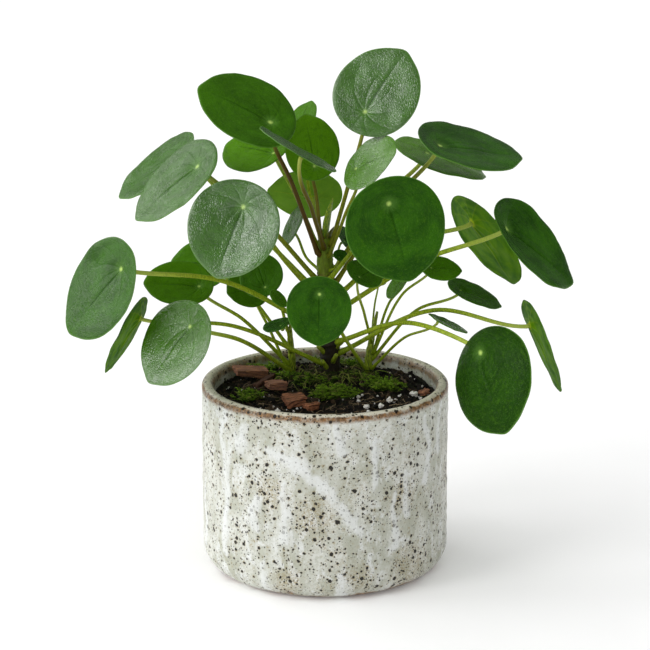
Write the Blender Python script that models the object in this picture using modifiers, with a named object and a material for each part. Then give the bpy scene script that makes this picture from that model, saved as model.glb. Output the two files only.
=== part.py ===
"""Potted pilea: a Chinese money plant with 37 round leaves, growing in a straight stoneware pot.

The pot stands on z = 0 with its axis on z. Lengths in the tables are in millimetres and angles in
degrees; MM turns them into Blender's metres. A leaf is one grown piece: a round blade with its petiole.
"""

from collections import namedtuple
from math import atan2, cos, exp, hypot, pi, radians, sin

import bmesh
import bpy
import numpy as np
from mathutils import Matrix, Vector, noise

MM = 0.001
GAP = 0.3

POT_RADIUS = 70.0
POT_HEIGHT = 108.0
POT_WALL = 7.0
POT_FLOOR = 9.0
FOOT_ROUND = 13.0
INNER_ROUND = 10.0
POT_STEPS = 40

SOIL_LEVEL = 100.0
MOUND_HEIGHT = 6.5
MOUND_PLACE = (2.0, 26.0)
MOUND_SPREAD = (30.0, 20.0)
SOIL_STEPS = 32
SOIL_RINGS = (0.12, 0.3, 0.5, 0.7, 0.87, 1.0)

BLADE_THICKNESS = 1.0
SMALL_LENGTH = 30
BLADE_SIDES = (12, 16)
BLADE_RINGS = ((0.4, 1.0), (0.3, 0.68, 1.0))
PETIOLE_STEPS = (2, 3)
DIMPLE = 0.035

Stem = namedtuple("Stem", "name points radii")
# Each stem's centre line from the soil up, with its radius at each point.
STEMS = {
    "main": Stem("main_stem", ((3, 24, 0), (3, 23, 122), (1, 21, 150), (0, 19, 172), (0, 18, 186)),
                 (6.2, 5.4, 4.9, 4.5, 3.6)),
    "left": Stem("left_shoot", ((-19, 29, 0), (-19, 28, 112), (-20, 27, 124), (-20, 27, 133)),
                 (2.4, 2.1, 1.7, 0.7)),
    "right": Stem("right_shoot", ((24, 29, 0), (25, 28, 112), (27, 28, 124), (30, 28, 140)),
                  (2.6, 2.2, 1.7, 0.7)),
}

Leaf = namedtuple("Leaf", "stem height bow dot face turn length width cup fold ahead")
# stem and height: where the petiole leaves. bow: how far its middle rises above a straight line.
# dot: where it meets the blade. face: azimuth and elevation of the blade's upper side.
# turn: the tip's direction, from straight downhill. cup: rise of the rim over the length.
# fold: how far the halves drop beside the middle. ahead: from the dot to the blade's middle, over the length.
LEAVES = (
    Leaf("main", 184, -3, (22, 0, 261), (-105, 25), 150, 51, 48, 0.03, 0.0, 0.25),
    Leaf("main", 178, 2, (-30, -5, 256), (-55, 50), -130, 56, 53, 0.02, 0.0, 0.25),
    Leaf("main", 185, -6, (-16, 38, 244), (-150, 40), -170, 27, 26, 0.02, 0.0, 0.18),
    Leaf("main", 182, 3, (-29, 25, 233), (-125, 60), -90, 41, 39, 0.02, 0.0, 0.28),
    Leaf("main", 187, 3, (-6, 8, 229), (-60, 15), 185, 36, 34, 0.03, 0.0, 0.28),
    Leaf("main", 182, -3, (-12, -54, 247), (10, 60), 135, 47, 45, 0.01, 0.0, 0.1),
    Leaf("main", 177, -2, (17, -9, 231), (-150, 40), 120, 37, 35, 0.02, 0.0, 0.32),
    Leaf("main", 178, 0, (-7, 52, 202), (90, 35), 100, 42, 40, 0.02, 0.0, 0.1),
    Leaf("main", 166, -4, (-20, 40, 185), (-165, 25), 140, 25, 24, 0.02, 0.0, 0.18),
    Leaf("main", 160, 6, (63, -5, 243), (-40, 70), 45, 58, 56, 0.04, 0.0, 0.27),
    Leaf("main", 167, 7, (58, 35, 231), (-15, 70), -25, 56, 53, 0.03, 0.12, 0.18),
    Leaf("main", 162, 5, (-70, -8, 232), (-150, 45), -15, 58, 55, 0.03, 0.0, 0.24),
    Leaf("main", 154, -1, (-81, 41, 231), (-160, 50), -10, 54, 51, 0.04, 0.0, 0.3),
    Leaf("main", 150, -2, (-44, -38, 216), (-105, 20), -15, 53, 51, 0.03, -0.12, 0.24),
    Leaf("main", 163, -1, (34, -48, 220), (-80, 0), 15, 57, 54, 0.03, 0.0, 0.24),
    Leaf("main", 132, 11, (-111, -32, 180), (-140, 25), -25, 59, 56, 0.05, 0.0, 0.26),
    Leaf("left", 110, 4, (-71, 8, 160), (-80, 60), -95, 38, 36, 0.04, 0.0, 0.29),
    Leaf("left", 120, 6, (-66, 58, 160), (-110, 45), -90, 37, 35, 0.02, 0.0, 0.16),
    Leaf("main", 112, 9, (-103, -15, 148), (165, 25), 20, 46, 44, 0.03, 0.0, 0.25),
    Leaf("left", 106, 5, (-73, -48, 152), (-130, 30), -20, 49, 46, 0.03, 0.0, 0.24),
    Leaf("left", 130, 7, (-34, 18, 157), (-105, 30), -155, 26, 25, 0.03, 0.0, 0.28),
    Leaf("left", 106, 0, (-41, 34, 152), (-60, 45), -85, 25, 24, 0.03, 0.0, 0.2),
    Leaf("right", 106, -2, (-3, -44, 169), (-95, 5), 0, 37, 35, 0.03, 0.0, 0.23),
    Leaf("left", 118, 9, (-25, -3, 140), (-155, 70), -70, 17, 16, 0.02, 0.0, 0.17),
    Leaf("main", 151, 11, (84, 30, 192), (30, 30), -5, 61, 58, 0.02, 0.0, 0.23),
    Leaf("main", 143, 6, (101, 0, 195), (-25, 40), 25, 62, 59, 0.05, -0.05, 0.28),
    Leaf("main", 118, 17, (115, -8, 142), (10, 20), -10, 54, 51, 0.02, 0.0, 0.24),
    Leaf("main", 125, 14, (84, -54, 139), (-140, 15), 35, 58, 56, -0.1, 0.0, 0.27),
    Leaf("right", 113, 9, (78, 34, 151), (-20, 65), 15, 33, 31, 0.03, 0.0, 0.24),
    Leaf("right", 107, 5, (64, 2, 142), (10, 65), -40, 24, 23, 0.03, 0.0, 0.25),
    Leaf("right", 117, 10, (60, 15, 169), (-70, 65), 70, 23, 22, 0.02, 0.0, 0.23),
    Leaf("right", 124, -2, (19, -14, 171), (-45, 55), 100, 22, 21, 0.03, 0.0, 0.21),
    Leaf("right", 116, 8, (44, 38, 157), (-165, 40), 40, 21, 20, 0.03, 0.0, 0.21),
    Leaf("main", 175, -4, (11, 30, 181), (-20, 35), 110, 17, 16, 0.03, 0.0, 0.2),
    Leaf("main", 168, -2, (8, 8, 177), (-70, 50), 135, 8, 8, 0.03, 0.0, 0.2),
    Leaf("main", 137, 2, (-25, -6, 157), (-25, 45), -90, 13, 12, 0.03, 0.0, 0.22),
    Leaf("right", 116, 8, (31, 44, 153), (-85, 65), 130, 7, 7, 0.03, 0.0, 0.22),
)

Lump = namedtuple("Lump", "place size spin")
CHIPS = (
    Lump((-43, 26), (18, 9, 5), 10),
    Lump((-34, 13), (19, 3.5, 3), 54),
    Lump((-28, 1), (11, 10, 5), 35),
    Lump((-17, -23), (11, 15, 5), 12),
    Lump((-7, -36), (9, 5, 4), 35),
    Lump((56, -5), (5, 4, 3), 40),
)
MOSSES = (
    Lump((-43, -13), (15, 12, 5), 0),
    Lump((5, -8), (28, 16, 6), 10),
    Lump((33, 7), (24, 14, 6), -15),
    Lump((-36, 42), (20, 10, 5), 35),
    Lump((10, 44), (26, 10, 6), -10),
)
PERLITES = (
    Lump((50, -10), (4, 4, 3), 0),
    Lump((36, -22), (3, 3, 3), 40),
    Lump((23, -33), (3, 3, 2.5), 20),
    Lump((31, -31), (3, 2.5, 2.5), 70),
    Lump((-26, -41), (3, 3, 2.5), 10),
)


def clear_scene():
    for obj in list(bpy.data.objects):
        bpy.data.objects.remove(obj)


def collection(name):
    made = bpy.data.collections.new(name)
    bpy.context.scene.collection.children.link(made)
    return made


def material(name, colour, roughness):
    made = bpy.data.materials.new(name)
    made.use_nodes = True
    shader = made.node_tree.nodes["Principled BSDF"]
    shader.inputs["Base Color"].default_value = (*colour, 1)
    shader.inputs["Roughness"].default_value = roughness
    shader.inputs["Metallic"].default_value = 0
    return made


def add(name, mesh, group, mat=None):
    obj = bpy.data.objects.new(name, mesh)
    group.objects.link(obj)
    if mat:
        mesh.materials.append(mat)
        mesh.shade_smooth()
        mesh.set_sharp_from_angle(angle=radians(40))
    return obj


def to_mesh(name, bm):
    mesh = bpy.data.meshes.new(name)
    bm.to_mesh(mesh)
    bm.free()
    return mesh


def arc(centre_x, centre_z, radius, start, end, steps):
    """Points of an arc in a profile, from one angle to the other."""
    turns = [radians(start + (end - start) * i / steps) for i in range(steps + 1)]
    return [(centre_x + radius * cos(a), centre_z + radius * sin(a)) for a in turns]


def turned(name, profile, group, mat):
    """A profile of (radius, height) turned about z."""
    bm = bmesh.new()
    points = [bm.verts.new((x * MM, 0, z * MM)) for x, z in profile]
    for a, b in zip(points, points[1:]):
        bm.edges.new((a, b))
    obj = add(name, to_mesh(name, bm), group, mat)
    screw = obj.modifiers.new("Turn", "SCREW")
    screw.steps = screw.render_steps = POT_STEPS
    screw.use_merge_vertices = True
    screw.merge_threshold = 0.00001
    screw.use_smooth_shade = True
    return obj


def disc(sides, rings):
    """A unit disc of rings about a centre point, facing +Z."""
    bm = bmesh.new()
    bmesh.ops.create_circle(bm, cap_ends=True, cap_tris=True, segments=sides, radius=rings[0])
    for inner, outer in zip(rings, rings[1:]):
        rim = [e for e in bm.edges if e.is_boundary]
        grown = bmesh.ops.extrude_edge_only(bm, edges=rim)["geom"]
        fresh = [g for g in grown if isinstance(g, bmesh.types.BMVert)]
        bmesh.ops.scale(bm, vec=(outer / inner,) * 3, verts=fresh)
    bmesh.ops.recalc_face_normals(bm, faces=bm.faces)
    bm.normal_update()
    if sum(f.normal.z for f in bm.faces) < 0:
        bmesh.ops.reverse_faces(bm, faces=bm.faces)
    return bm


def make_pot(group):
    lip = POT_WALL / 2
    inner = POT_RADIUS - POT_WALL
    profile = [(0, POT_FLOOR)]
    profile += arc(inner - INNER_ROUND, POT_FLOOR + INNER_ROUND, INNER_ROUND, -90, 0, 3)
    profile += arc(inner + lip, POT_HEIGHT - lip, lip, 180, 0, 6)
    profile += arc(POT_RADIUS - FOOT_ROUND, FOOT_ROUND, FOOT_ROUND, 0, -90, 4)
    profile += [(0, 0)]
    turned("pot", profile, group, material("speckled_glaze", (0.62, 0.61, 0.55), 0.35))


def soil_height(x, y):
    """The soil's surface: level at the wall, with a mound under the plant."""
    across = (x - MOUND_PLACE[0]) / MOUND_SPREAD[0]
    deep = (y - MOUND_PLACE[1]) / MOUND_SPREAD[1]
    return SOIL_LEVEL + MOUND_HEIGHT * exp(-across * across - deep * deep)


def make_soil(group):
    radius = POT_RADIUS - POT_WALL - 2 * GAP
    bm = disc(SOIL_STEPS, SOIL_RINGS)
    for v in bm.verts:
        rough = 0.6 * noise.noise(v.co * 6) if v.co.length < 0.95 else 0
        x, y = v.co.x * radius, v.co.y * radius
        v.co = Vector((x, y, soil_height(x, y) + rough)) * MM
    narrow = radius - INNER_ROUND
    for ring_radius, z in ((radius, POT_FLOOR + INNER_ROUND), (narrow, POT_FLOOR + GAP)):
        rim = [e for e in bm.edges if e.is_boundary]
        grown = bmesh.ops.extrude_edge_only(bm, edges=rim)["geom"]
        for v in (g for g in grown if isinstance(g, bmesh.types.BMVert)):
            v.co = v.co.xy.normalized().to_3d() * ring_radius * MM + Vector((0, 0, z * MM))
    bmesh.ops.contextual_create(bm, geom=[e for e in bm.edges if e.is_boundary])
    bmesh.ops.recalc_face_normals(bm, faces=bm.faces)
    add("soil", to_mesh("soil", bm), group, material("potting_soil", (0.03, 0.024, 0.018), 0.95))


def tube(name, points, radii, scratch):
    """A closed mesh tube through the points, with a radius at each; the curve it came from is removed."""
    curve = bpy.data.curves.new(name, "CURVE")
    curve.dimensions = "3D"
    curve.bevel_depth = 1.0
    curve.bevel_resolution = 2
    curve.use_fill_caps = True
    spline = curve.splines.new("POLY")
    spline.points.add(len(points) - 1)
    for point, place, radius in zip(spline.points, points, radii):
        point.co = (*(Vector(place) * MM), 1)
        point.radius = radius * MM
    guide = bpy.data.objects.new(name + "_curve", curve)
    scratch.objects.link(guide)
    bpy.context.view_layer.update()
    evaluated = guide.evaluated_get(bpy.context.evaluated_depsgraph_get())
    mesh = bpy.data.meshes.new_from_object(evaluated)
    bpy.data.objects.remove(guide)
    bm = bmesh.new()
    bm.from_mesh(mesh)
    bpy.data.meshes.remove(mesh)
    bmesh.ops.remove_doubles(bm, verts=bm.verts, dist=0.00001)
    bmesh.ops.recalc_face_normals(bm, faces=bm.faces)
    return to_mesh(name, bm)


def stem_at(stem, height):
    """The stem's centre and radius at a height."""
    heights = [p[2] for p in stem.points]
    x = np.interp(height, heights, [p[0] for p in stem.points])
    y = np.interp(height, heights, [p[1] for p in stem.points])
    return Vector((x, y, height)), float(np.interp(height, heights, stem.radii))


def make_stem(stem, group, scratch, mat):
    """The stem from just above the soil to its tip."""
    x, y, _ = stem.points[0]
    start = soil_height(x, y) + 3 * GAP
    points = [(x, y, start), *stem.points[1:]]
    add(stem.name, tube(stem.name, points, stem.radii, scratch), group, mat)


def make_crown_bud(group, scratch):
    """The folded young leaf at the top of the main stem."""
    top = Vector(STEMS["main"].points[-1])
    rises = (2 * GAP, 6, 12, 18, 24, 27)
    radii = (2.2, 2.9, 2.6, 2.3, 1.4, 0.5)
    points = [top + Vector((0.06 * rise, 0, rise)) for rise in rises]
    mesh = tube("crown_bud", points, radii, scratch)
    add("crown_bud", mesh, group, material("young_leaf", (0.19, 0.28, 0.05), 0.5))


def blade_axes(leaf):
    """The blade's upward normal, the direction of its tip, and its side."""
    azimuth, elevation = map(radians, leaf.face)
    level = cos(elevation)
    normal = Vector((level * cos(azimuth), level * sin(azimuth), sin(elevation)))
    downhill = (normal * normal.z - Vector((0, 0, 1))).normalized()
    tip = Matrix.Rotation(radians(leaf.turn), 3, normal) @ downhill
    return normal, tip, normal.cross(tip)


def blade_point(leaf, axes, share, angle):
    """The point at a share of the way from the dot to the egg-shaped outline, in one direction."""
    normal, tip, side = axes
    apex = 0.03 * exp(-((angle / 0.22) ** 2))
    along = share * leaf.length * (cos(angle) / 2 + apex + leaf.ahead)
    across = share * leaf.width / 2 * sin(angle) * (1 - 0.07 * cos(angle))
    dimple = DIMPLE * leaf.length * (1 - exp(-((share / 0.2) ** 2)))
    rise = dimple + leaf.cup * leaf.length * share * share - leaf.fold * abs(across)
    return Vector(leaf.dot) + tip * along + side * across + normal * rise


def grade(leaf):
    """0 for a small leaf, which needs fewer faces, and 1 for a large one."""
    return int(leaf.length > SMALL_LENGTH)


def petiole_radius(leaf):
    return 0.55 + 0.015 * leaf.length


def bend(start, leaving, end, arriving, steps):
    """Points of a cubic curve between two places, without the first."""
    made = []
    for i in range(1, steps + 1):
        s = i / steps
        made.append(start * (2 * s**3 - 3 * s**2 + 1) + leaving * (s**3 - 2 * s**2 + s)
                    + end * (3 * s**2 - 2 * s**3) + arriving * (s**3 - s**2))
    return made


def petiole_path(leaf, normal):
    """From beside the stem, over the bowed middle, up into the blade's underside."""
    axis, stem_radius = stem_at(STEMS[leaf.stem], leaf.height)
    dot = Vector(leaf.dot)
    outward = Vector((dot.x - axis.x, dot.y - axis.y, 0)).normalized()
    root = axis + outward * (stem_radius + petiole_radius(leaf) + GAP)
    under = dot - normal * 2.5
    middle = (root + under) / 2 + Vector((0, 0, leaf.bow))
    first, second = middle - root, under - middle
    through = (first.normalized() + second.normalized()).normalized()
    arriving = (second.normalized() * 1.5 + normal).normalized()
    path = [root]
    steps = PETIOLE_STEPS[grade(leaf)]
    path += bend(root, first, middle, through * first.length, steps)
    path += bend(middle, through * second.length, under, arriving * second.length, steps)
    return path + [dot - normal * 0.7 * BLADE_THICKNESS]


def make_leaf(number, leaf, group, scratch, mat):
    name = f"leaf_{number:02d}"
    axes = blade_axes(leaf)
    bm = disc(BLADE_SIDES[grade(leaf)], BLADE_RINGS[grade(leaf)])
    for v in bm.verts:
        v.co = blade_point(leaf, axes, v.co.length, atan2(v.co.y, v.co.x)) * MM
    blade = add(name, to_mesh(name, bm), group, mat)
    solid = blade.modifiers.new("Thickness", "SOLIDIFY")
    solid.thickness = BLADE_THICKNESS * MM
    solid.offset = -1
    path = petiole_path(leaf, axes[0])
    radii = np.linspace(1.1, 0.85, len(path)) * petiole_radius(leaf)
    stalk = add(name + "_petiole", tube(name, path, radii, scratch), scratch)
    stalk.hide_render = True
    stalk.display_type = "WIRE"
    union = blade.modifiers.new("Petiole", "BOOLEAN")
    union.operation = "UNION"
    union.object = stalk


def place_lump(bm, lump, sink=0.0):
    """Turns a lump, and sets it down clear of the soil beneath it."""
    spin = Matrix.Rotation(radians(lump.spin), 4, "Z")
    bmesh.ops.transform(bm, matrix=spin, verts=bm.verts)
    for v in bm.verts:
        v.co += Vector((*lump.place, 0))
    clear = max(soil_height(v.co.x, v.co.y) - v.co.z for v in bm.verts) + 1.0 - sink
    for v in bm.verts:
        v.co = (v.co + Vector((0, 0, clear))) * MM


def make_chip(number, lump, group, mat):
    """A flat broken piece of bark."""
    bm = bmesh.new()
    bmesh.ops.create_cube(bm, size=1)
    for v in bm.verts:
        v.co = Vector([c * s for c, s in zip(v.co, lump.size)])
        v.co *= 1 + 0.18 * noise.noise(v.co + Vector((number * 7, 0, 0)))
    place_lump(bm, lump)
    name = f"bark_chip_{number}"
    chip = add(name, to_mesh(name, bm), group, mat)
    edge = chip.modifiers.new("Edges", "BEVEL")
    edge.width = 0.5 * MM
    edge.segments = 1


def make_mound(name, number, lump, detail, roughness, group, mat):
    """A rounded lump: a moss tuft or a grain."""
    bm = bmesh.new()
    bmesh.ops.create_icosphere(bm, subdivisions=detail, radius=0.5)
    for v in bm.verts:
        v.co *= 1 + roughness * noise.noise(v.co * 4 + Vector((number * 5, 0, 0)))
        v.co = Vector([c * s for c, s in zip(v.co, lump.size)])
    place_lump(bm, lump)
    name = f"{name}_{number}"
    add(name, to_mesh(name, bm), group, mat)


def build():
    clear_scene()
    parts = collection("potted_pilea_plant")
    scratch = collection("petioles_to_join")
    make_pot(parts)
    make_soil(parts)
    bark_green = material("stem_skin", (0.12, 0.11, 0.035), 0.7)
    for stem in STEMS.values():
        make_stem(stem, parts, scratch, bark_green)
    make_crown_bud(parts, scratch)
    leaf_green = material("leaf_green", (0.035, 0.13, 0.018), 0.4)
    for number, leaf in enumerate(LEAVES, 1):
        make_leaf(number, leaf, parts, scratch, leaf_green)
    bark = material("bark", (0.17, 0.07, 0.035), 0.85)
    for number, lump in enumerate(CHIPS, 1):
        make_chip(number, lump, parts, bark)
    moss = material("moss", (0.07, 0.1, 0.02), 0.95)
    for number, lump in enumerate(MOSSES, 1):
        make_mound("moss", number, lump, 2, 0.25, parts, moss)
    perlite = material("perlite", (0.75, 0.73, 0.68), 0.9)
    for number, lump in enumerate(PERLITES, 1):
        make_mound("perlite", number, lump, 1, 0.2, parts, perlite)


build()
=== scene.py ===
from collections import namedtuple
from math import atan2, cos, exp, hypot, pi, radians, sin

import bpy
import numpy as np
from bpy.props import FloatProperty, FloatVectorProperty, IntProperty, PointerProperty
from mathutils import Matrix, Vector, noise


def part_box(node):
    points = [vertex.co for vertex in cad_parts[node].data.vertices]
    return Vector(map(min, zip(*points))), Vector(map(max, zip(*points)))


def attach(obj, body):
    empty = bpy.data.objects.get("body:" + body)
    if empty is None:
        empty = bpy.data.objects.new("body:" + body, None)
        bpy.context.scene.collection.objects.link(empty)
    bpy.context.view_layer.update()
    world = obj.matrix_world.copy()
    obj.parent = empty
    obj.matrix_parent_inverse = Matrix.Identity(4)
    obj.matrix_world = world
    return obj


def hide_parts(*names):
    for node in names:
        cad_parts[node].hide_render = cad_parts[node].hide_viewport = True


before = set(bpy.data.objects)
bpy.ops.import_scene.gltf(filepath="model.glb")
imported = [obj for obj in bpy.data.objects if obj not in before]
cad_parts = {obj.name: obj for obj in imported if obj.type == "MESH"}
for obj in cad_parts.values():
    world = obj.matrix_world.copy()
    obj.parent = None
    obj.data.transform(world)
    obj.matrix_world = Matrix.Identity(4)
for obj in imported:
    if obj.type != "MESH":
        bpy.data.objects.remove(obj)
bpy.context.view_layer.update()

bl_info = {
    "name": "Potted Pilea",
    "version": (1, 0, 0),
    "blender": (4, 5, 0),
    "location": "View3D > Sidebar > Pilea",
    "description": "Builds a round-leaved pilea in a speckled stoneware pot",
    "category": "Add Mesh",
}

BODY = "root"
MM = 0.001

# Sizes from the frame, in millimetres.
POT_HIGH = np.array(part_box("pot")[1]) / MM
POT_RADIUS = POT_HIGH[0]
POT_HEIGHT = POT_HIGH[2]
SOIL_LOW, SOIL_HIGH = (np.array(corner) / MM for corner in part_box("soil"))
SOIL_RADIUS = SOIL_HIGH[0]
POT_WALL = 7.0
POT_FLOOR = SOIL_LOW[2] - 0.3
FOOT_ROUND = 13.0
INNER_ROUND = 10.0
SOIL_LEVEL = 100.0
SOIL_ROUND = 10.5
MOUND_HEIGHT = 6.5
MOUND_PLACE = (2.0, 26.0)
MOUND_SPREAD = (30.0, 20.0)

Stem = namedtuple("Stem", "name points radii")
# Each stem's centre line from the soil up, with its radius at each point.
STEMS = {
    "main": Stem("main_stem", ((3, 24, 0), (3, 23, 122), (1, 21, 150), (0, 19, 172), (0, 18, 186)),
                 (6.2, 5.4, 4.9, 4.5, 3.6)),
    "left": Stem("left_shoot", ((-19, 29, 0), (-19, 28, 112), (-20, 27, 124), (-20, 27, 133)),
                 (2.4, 2.1, 1.7, 0.7)),
    "right": Stem("right_shoot", ((24, 29, 0), (25, 28, 112), (27, 28, 124), (30, 28, 140)),
                  (2.6, 2.2, 1.7, 0.7)),
}

Leaf = namedtuple("Leaf", "stem height bow dot face turn length width cup fold ahead")
# stem and height: where the petiole leaves. bow: how far its middle rises above a straight line.
# dot: where it meets the blade. face: azimuth and elevation of the blade's upper side.
# turn: the tip's direction, from straight downhill. cup: rise of the rim over the length.
# fold: how steeply the halves drop beside the middle.
# ahead: from the dot to the blade's middle, over the length.
LEAVES = (
    Leaf("main", 184, -3, (22, 0, 261), (-105, 25), 150, 51, 48, 0.03, 0.0, 0.25),
    Leaf("main", 178, 2, (-30, -5, 256), (-55, 50), -130, 56, 53, 0.02, 0.0, 0.25),
    Leaf("main", 185, -6, (-16, 38, 244), (-150, 40), -170, 27, 26, 0.02, 0.0, 0.18),
    Leaf("main", 182, 3, (-29, 25, 233), (-125, 60), -90, 41, 39, 0.02, 0.0, 0.28),
    Leaf("main", 187, 3, (-6, 8, 229), (-60, 15), 185, 36, 34, 0.03, 0.0, 0.28),
    Leaf("main", 182, -3, (-12, -54, 247), (10, 60), 135, 47, 45, 0.01, 0.0, 0.1),
    Leaf("main", 177, -2, (17, -9, 231), (-150, 40), 120, 37, 35, 0.02, 0.0, 0.32),
    Leaf("main", 178, 0, (-7, 52, 202), (90, 35), 100, 42, 40, 0.02, 0.0, 0.1),
    Leaf("main", 166, -4, (-20, 40, 185), (-165, 25), 140, 25, 24, 0.02, 0.0, 0.18),
    Leaf("main", 160, 6, (63, -5, 243), (-40, 70), 45, 58, 56, 0.04, 0.0, 0.27),
    Leaf("main", 167, 7, (58, 35, 231), (-15, 70), -25, 56, 53, 0.03, 0.12, 0.18),
    Leaf("main", 162, 5, (-70, -8, 232), (-150, 45), -15, 58, 55, 0.03, 0.0, 0.24),
    Leaf("main", 154, -1, (-81, 41, 231), (-160, 50), -10, 54, 51, 0.04, 0.0, 0.3),
    Leaf("main", 150, -2, (-44, -38, 216), (-105, 20), -15, 53, 51, 0.03, -0.12, 0.24),
    Leaf("main", 163, -1, (34, -48, 220), (-80, 0), 15, 57, 54, 0.03, 0.0, 0.24),
    Leaf("main", 132, 11, (-111, -32, 180), (-140, 25), -25, 59, 56, 0.05, 0.0, 0.26),
    Leaf("left", 110, 4, (-71, 8, 160), (-80, 60), -95, 38, 36, 0.04, 0.0, 0.29),
    Leaf("left", 120, 6, (-66, 58, 160), (-110, 45), -90, 37, 35, 0.02, 0.0, 0.16),
    Leaf("main", 112, 9, (-103, -15, 148), (165, 25), 20, 46, 44, 0.03, 0.0, 0.25),
    Leaf("left", 106, 5, (-73, -48, 152), (-130, 30), -20, 49, 46, 0.03, 0.0, 0.24),
    Leaf("left", 130, 7, (-34, 18, 157), (-105, 30), -155, 26, 25, 0.03, 0.0, 0.28),
    Leaf("left", 106, 0, (-41, 34, 152), (-60, 45), -85, 25, 24, 0.03, 0.0, 0.2),
    Leaf("right", 106, -2, (-3, -44, 169), (-95, 5), 0, 37, 35, 0.03, 0.0, 0.23),
    Leaf("left", 118, 9, (-25, -3, 140), (-155, 70), -70, 17, 16, 0.02, 0.0, 0.17),
    Leaf("main", 151, 11, (84, 30, 192), (30, 30), -5, 61, 58, 0.02, 0.0, 0.23),
    Leaf("main", 143, 6, (101, 0, 195), (-25, 40), 25, 62, 59, 0.05, -0.05, 0.28),
    Leaf("main", 118, 17, (115, -8, 142), (10, 20), -10, 54, 51, 0.02, 0.0, 0.24),
    Leaf("main", 125, 14, (84, -54, 139), (-140, 15), 35, 58, 56, -0.1, 0.0, 0.27),
    Leaf("right", 113, 9, (78, 34, 151), (-20, 65), 15, 33, 31, 0.03, 0.0, 0.24),
    Leaf("right", 107, 5, (64, 2, 142), (10, 65), -40, 24, 23, 0.03, 0.0, 0.25),
    Leaf("right", 117, 10, (60, 15, 169), (-70, 65), 70, 23, 22, 0.02, 0.0, 0.23),
    Leaf("right", 124, -2, (19, -14, 171), (-45, 55), 100, 22, 21, 0.03, 0.0, 0.21),
    Leaf("right", 116, 8, (44, 38, 157), (-165, 40), 40, 21, 20, 0.03, 0.0, 0.21),
    Leaf("main", 175, -4, (11, 30, 181), (-20, 35), 110, 17, 16, 0.03, 0.0, 0.2),
    Leaf("main", 168, -2, (8, 8, 177), (-70, 50), 135, 8, 8, 0.03, 0.0, 0.2),
    Leaf("main", 137, 2, (-25, -6, 157), (-25, 45), -90, 13, 12, 0.03, 0.0, 0.22),
    Leaf("right", 116, 8, (31, 44, 153), (-85, 65), 130, 7, 7, 0.03, 0.0, 0.22),
)
# By the leaf's number, how far a blade's green moves: above 0 towards the young green, partly young leaves'
# own brighter green and partly painted light on blades in shade; below 0 towards a darker green, painted
# shade on blades the lamps light.
YOUTH_AND_PAINTED_LIGHT = {1: 0.25, 2: 0.25, 3: 0.6, 4: 0.9, 5: 1.0, 7: 0.8, 8: 1.0, 9: 0.5, 11: 1.0, 12: 0.25, 13: 0.2,
           14: 0.2, 15: -0.1, 16: 0.1, 17: 0.8, 18: 0.5, 20: 0.4, 21: 0.3, 22: 0.9, 23: -0.2, 25: 0.1,
           26: -0.1, 28: -0.6, 29: 0.5, 30: 0.6, 31: 0.7, 32: 0.3, 33: 0.9, 36: 0.8}
# How much a blade's skin shines, and the leaves that are not matte.
SHINES = {"matte": 0.05, "soft": 0.2, "satin": 0.42, "glossy": 1.0}
SHINY_LEAVES = {1: "glossy", 6: "glossy", 7: "glossy", 9: "soft", 10: "soft", 11: "satin",
                12: "satin", 13: "soft", 14: "glossy", 16: "soft", 20: "glossy"}
# How brown a petiole is, by the leaf's number.
BROWN_PETIOLES = {1: 0.6, 2: 1.0, 5: 0.8, 6: 0.9, 10: 0.6, 12: 0.45, 7: 0.5, 11: 0.4, 14: 0.2}

# Relief of a blade, over its length: the dimple at the dot, the rounding of its fold, waves around the rim,
# swells and puckers of its skin, the sunken veins, and the rim that turns down.
DIMPLE = 0.035
FOLD_ROUND = 0.07
WAVES = 0.008
SWELLS = 0.011
PUCKERS = 0.003
SUNKEN_VEINS = 0.008
VEIN_WIDTH = 0.022
TURNED_RIM = 0.012
TURN_START = 0.86
RIM_GROWTH = 0.22  # how far the rim stands out, in millimetres
# The angle between two main veins, and how much they curl on their way out.
VEIN_STEP = radians(38)
VEIN_CURL = radians(62)
# A petiole's radius: the least, and how much it gains for each millimetre of its blade.
PETIOLE_LEAST = 0.55
PETIOLE_GAIN = 0.015

# Thin moss between the tufts, with its height and its share of the tufts' density.
LOOSE_MOSSES = (((-22, 21), (16, 12), 20), ((-6, 10), (24, 10), 0), ((19, 17), (16, 10), -10))
LOOSE_HEIGHT = 4
LOOSE_SHARE = 0.55
# Dry moss strands around the main stem, and fine roots there: how far they spread, and their middle.
WISPS = 120
WISP_SPREAD = (13, 8)
WISP_MIDDLE = (2, 17)
ROOT_SPREAD = (13, 7)
ROOT_MIDDLE = (4, 18)

# Dark twigs on the mix: start, heading in degrees, length, radius.
TWIGS = (
    ((-46, 4), 38, 20, 0.9),
    ((-40, 0), 30, 12, 0.6),
    ((-14, -14), -20, 11, 0.5),
    ((30, -22), 15, 10, 0.5),
    ((46, 12), 100, 12, 0.6),
    ((-20, 16), 60, 10, 0.6),
    ((-2, -46), 8, 12, 0.5),
)
# Stubs of fallen petioles near the foot of the main stem: height, direction in degrees, length.
STUBS = (
    (109, -115, 6.5), (113, -70, 6.0), (118, -140, 5.0), (121, -40, 4.5), (128, -100, 3.5), (143, -60, 3.0),
)
STUB_RADII = (1.7, 1.4, 1.25, 1.3, 1.2, 0.6)

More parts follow.
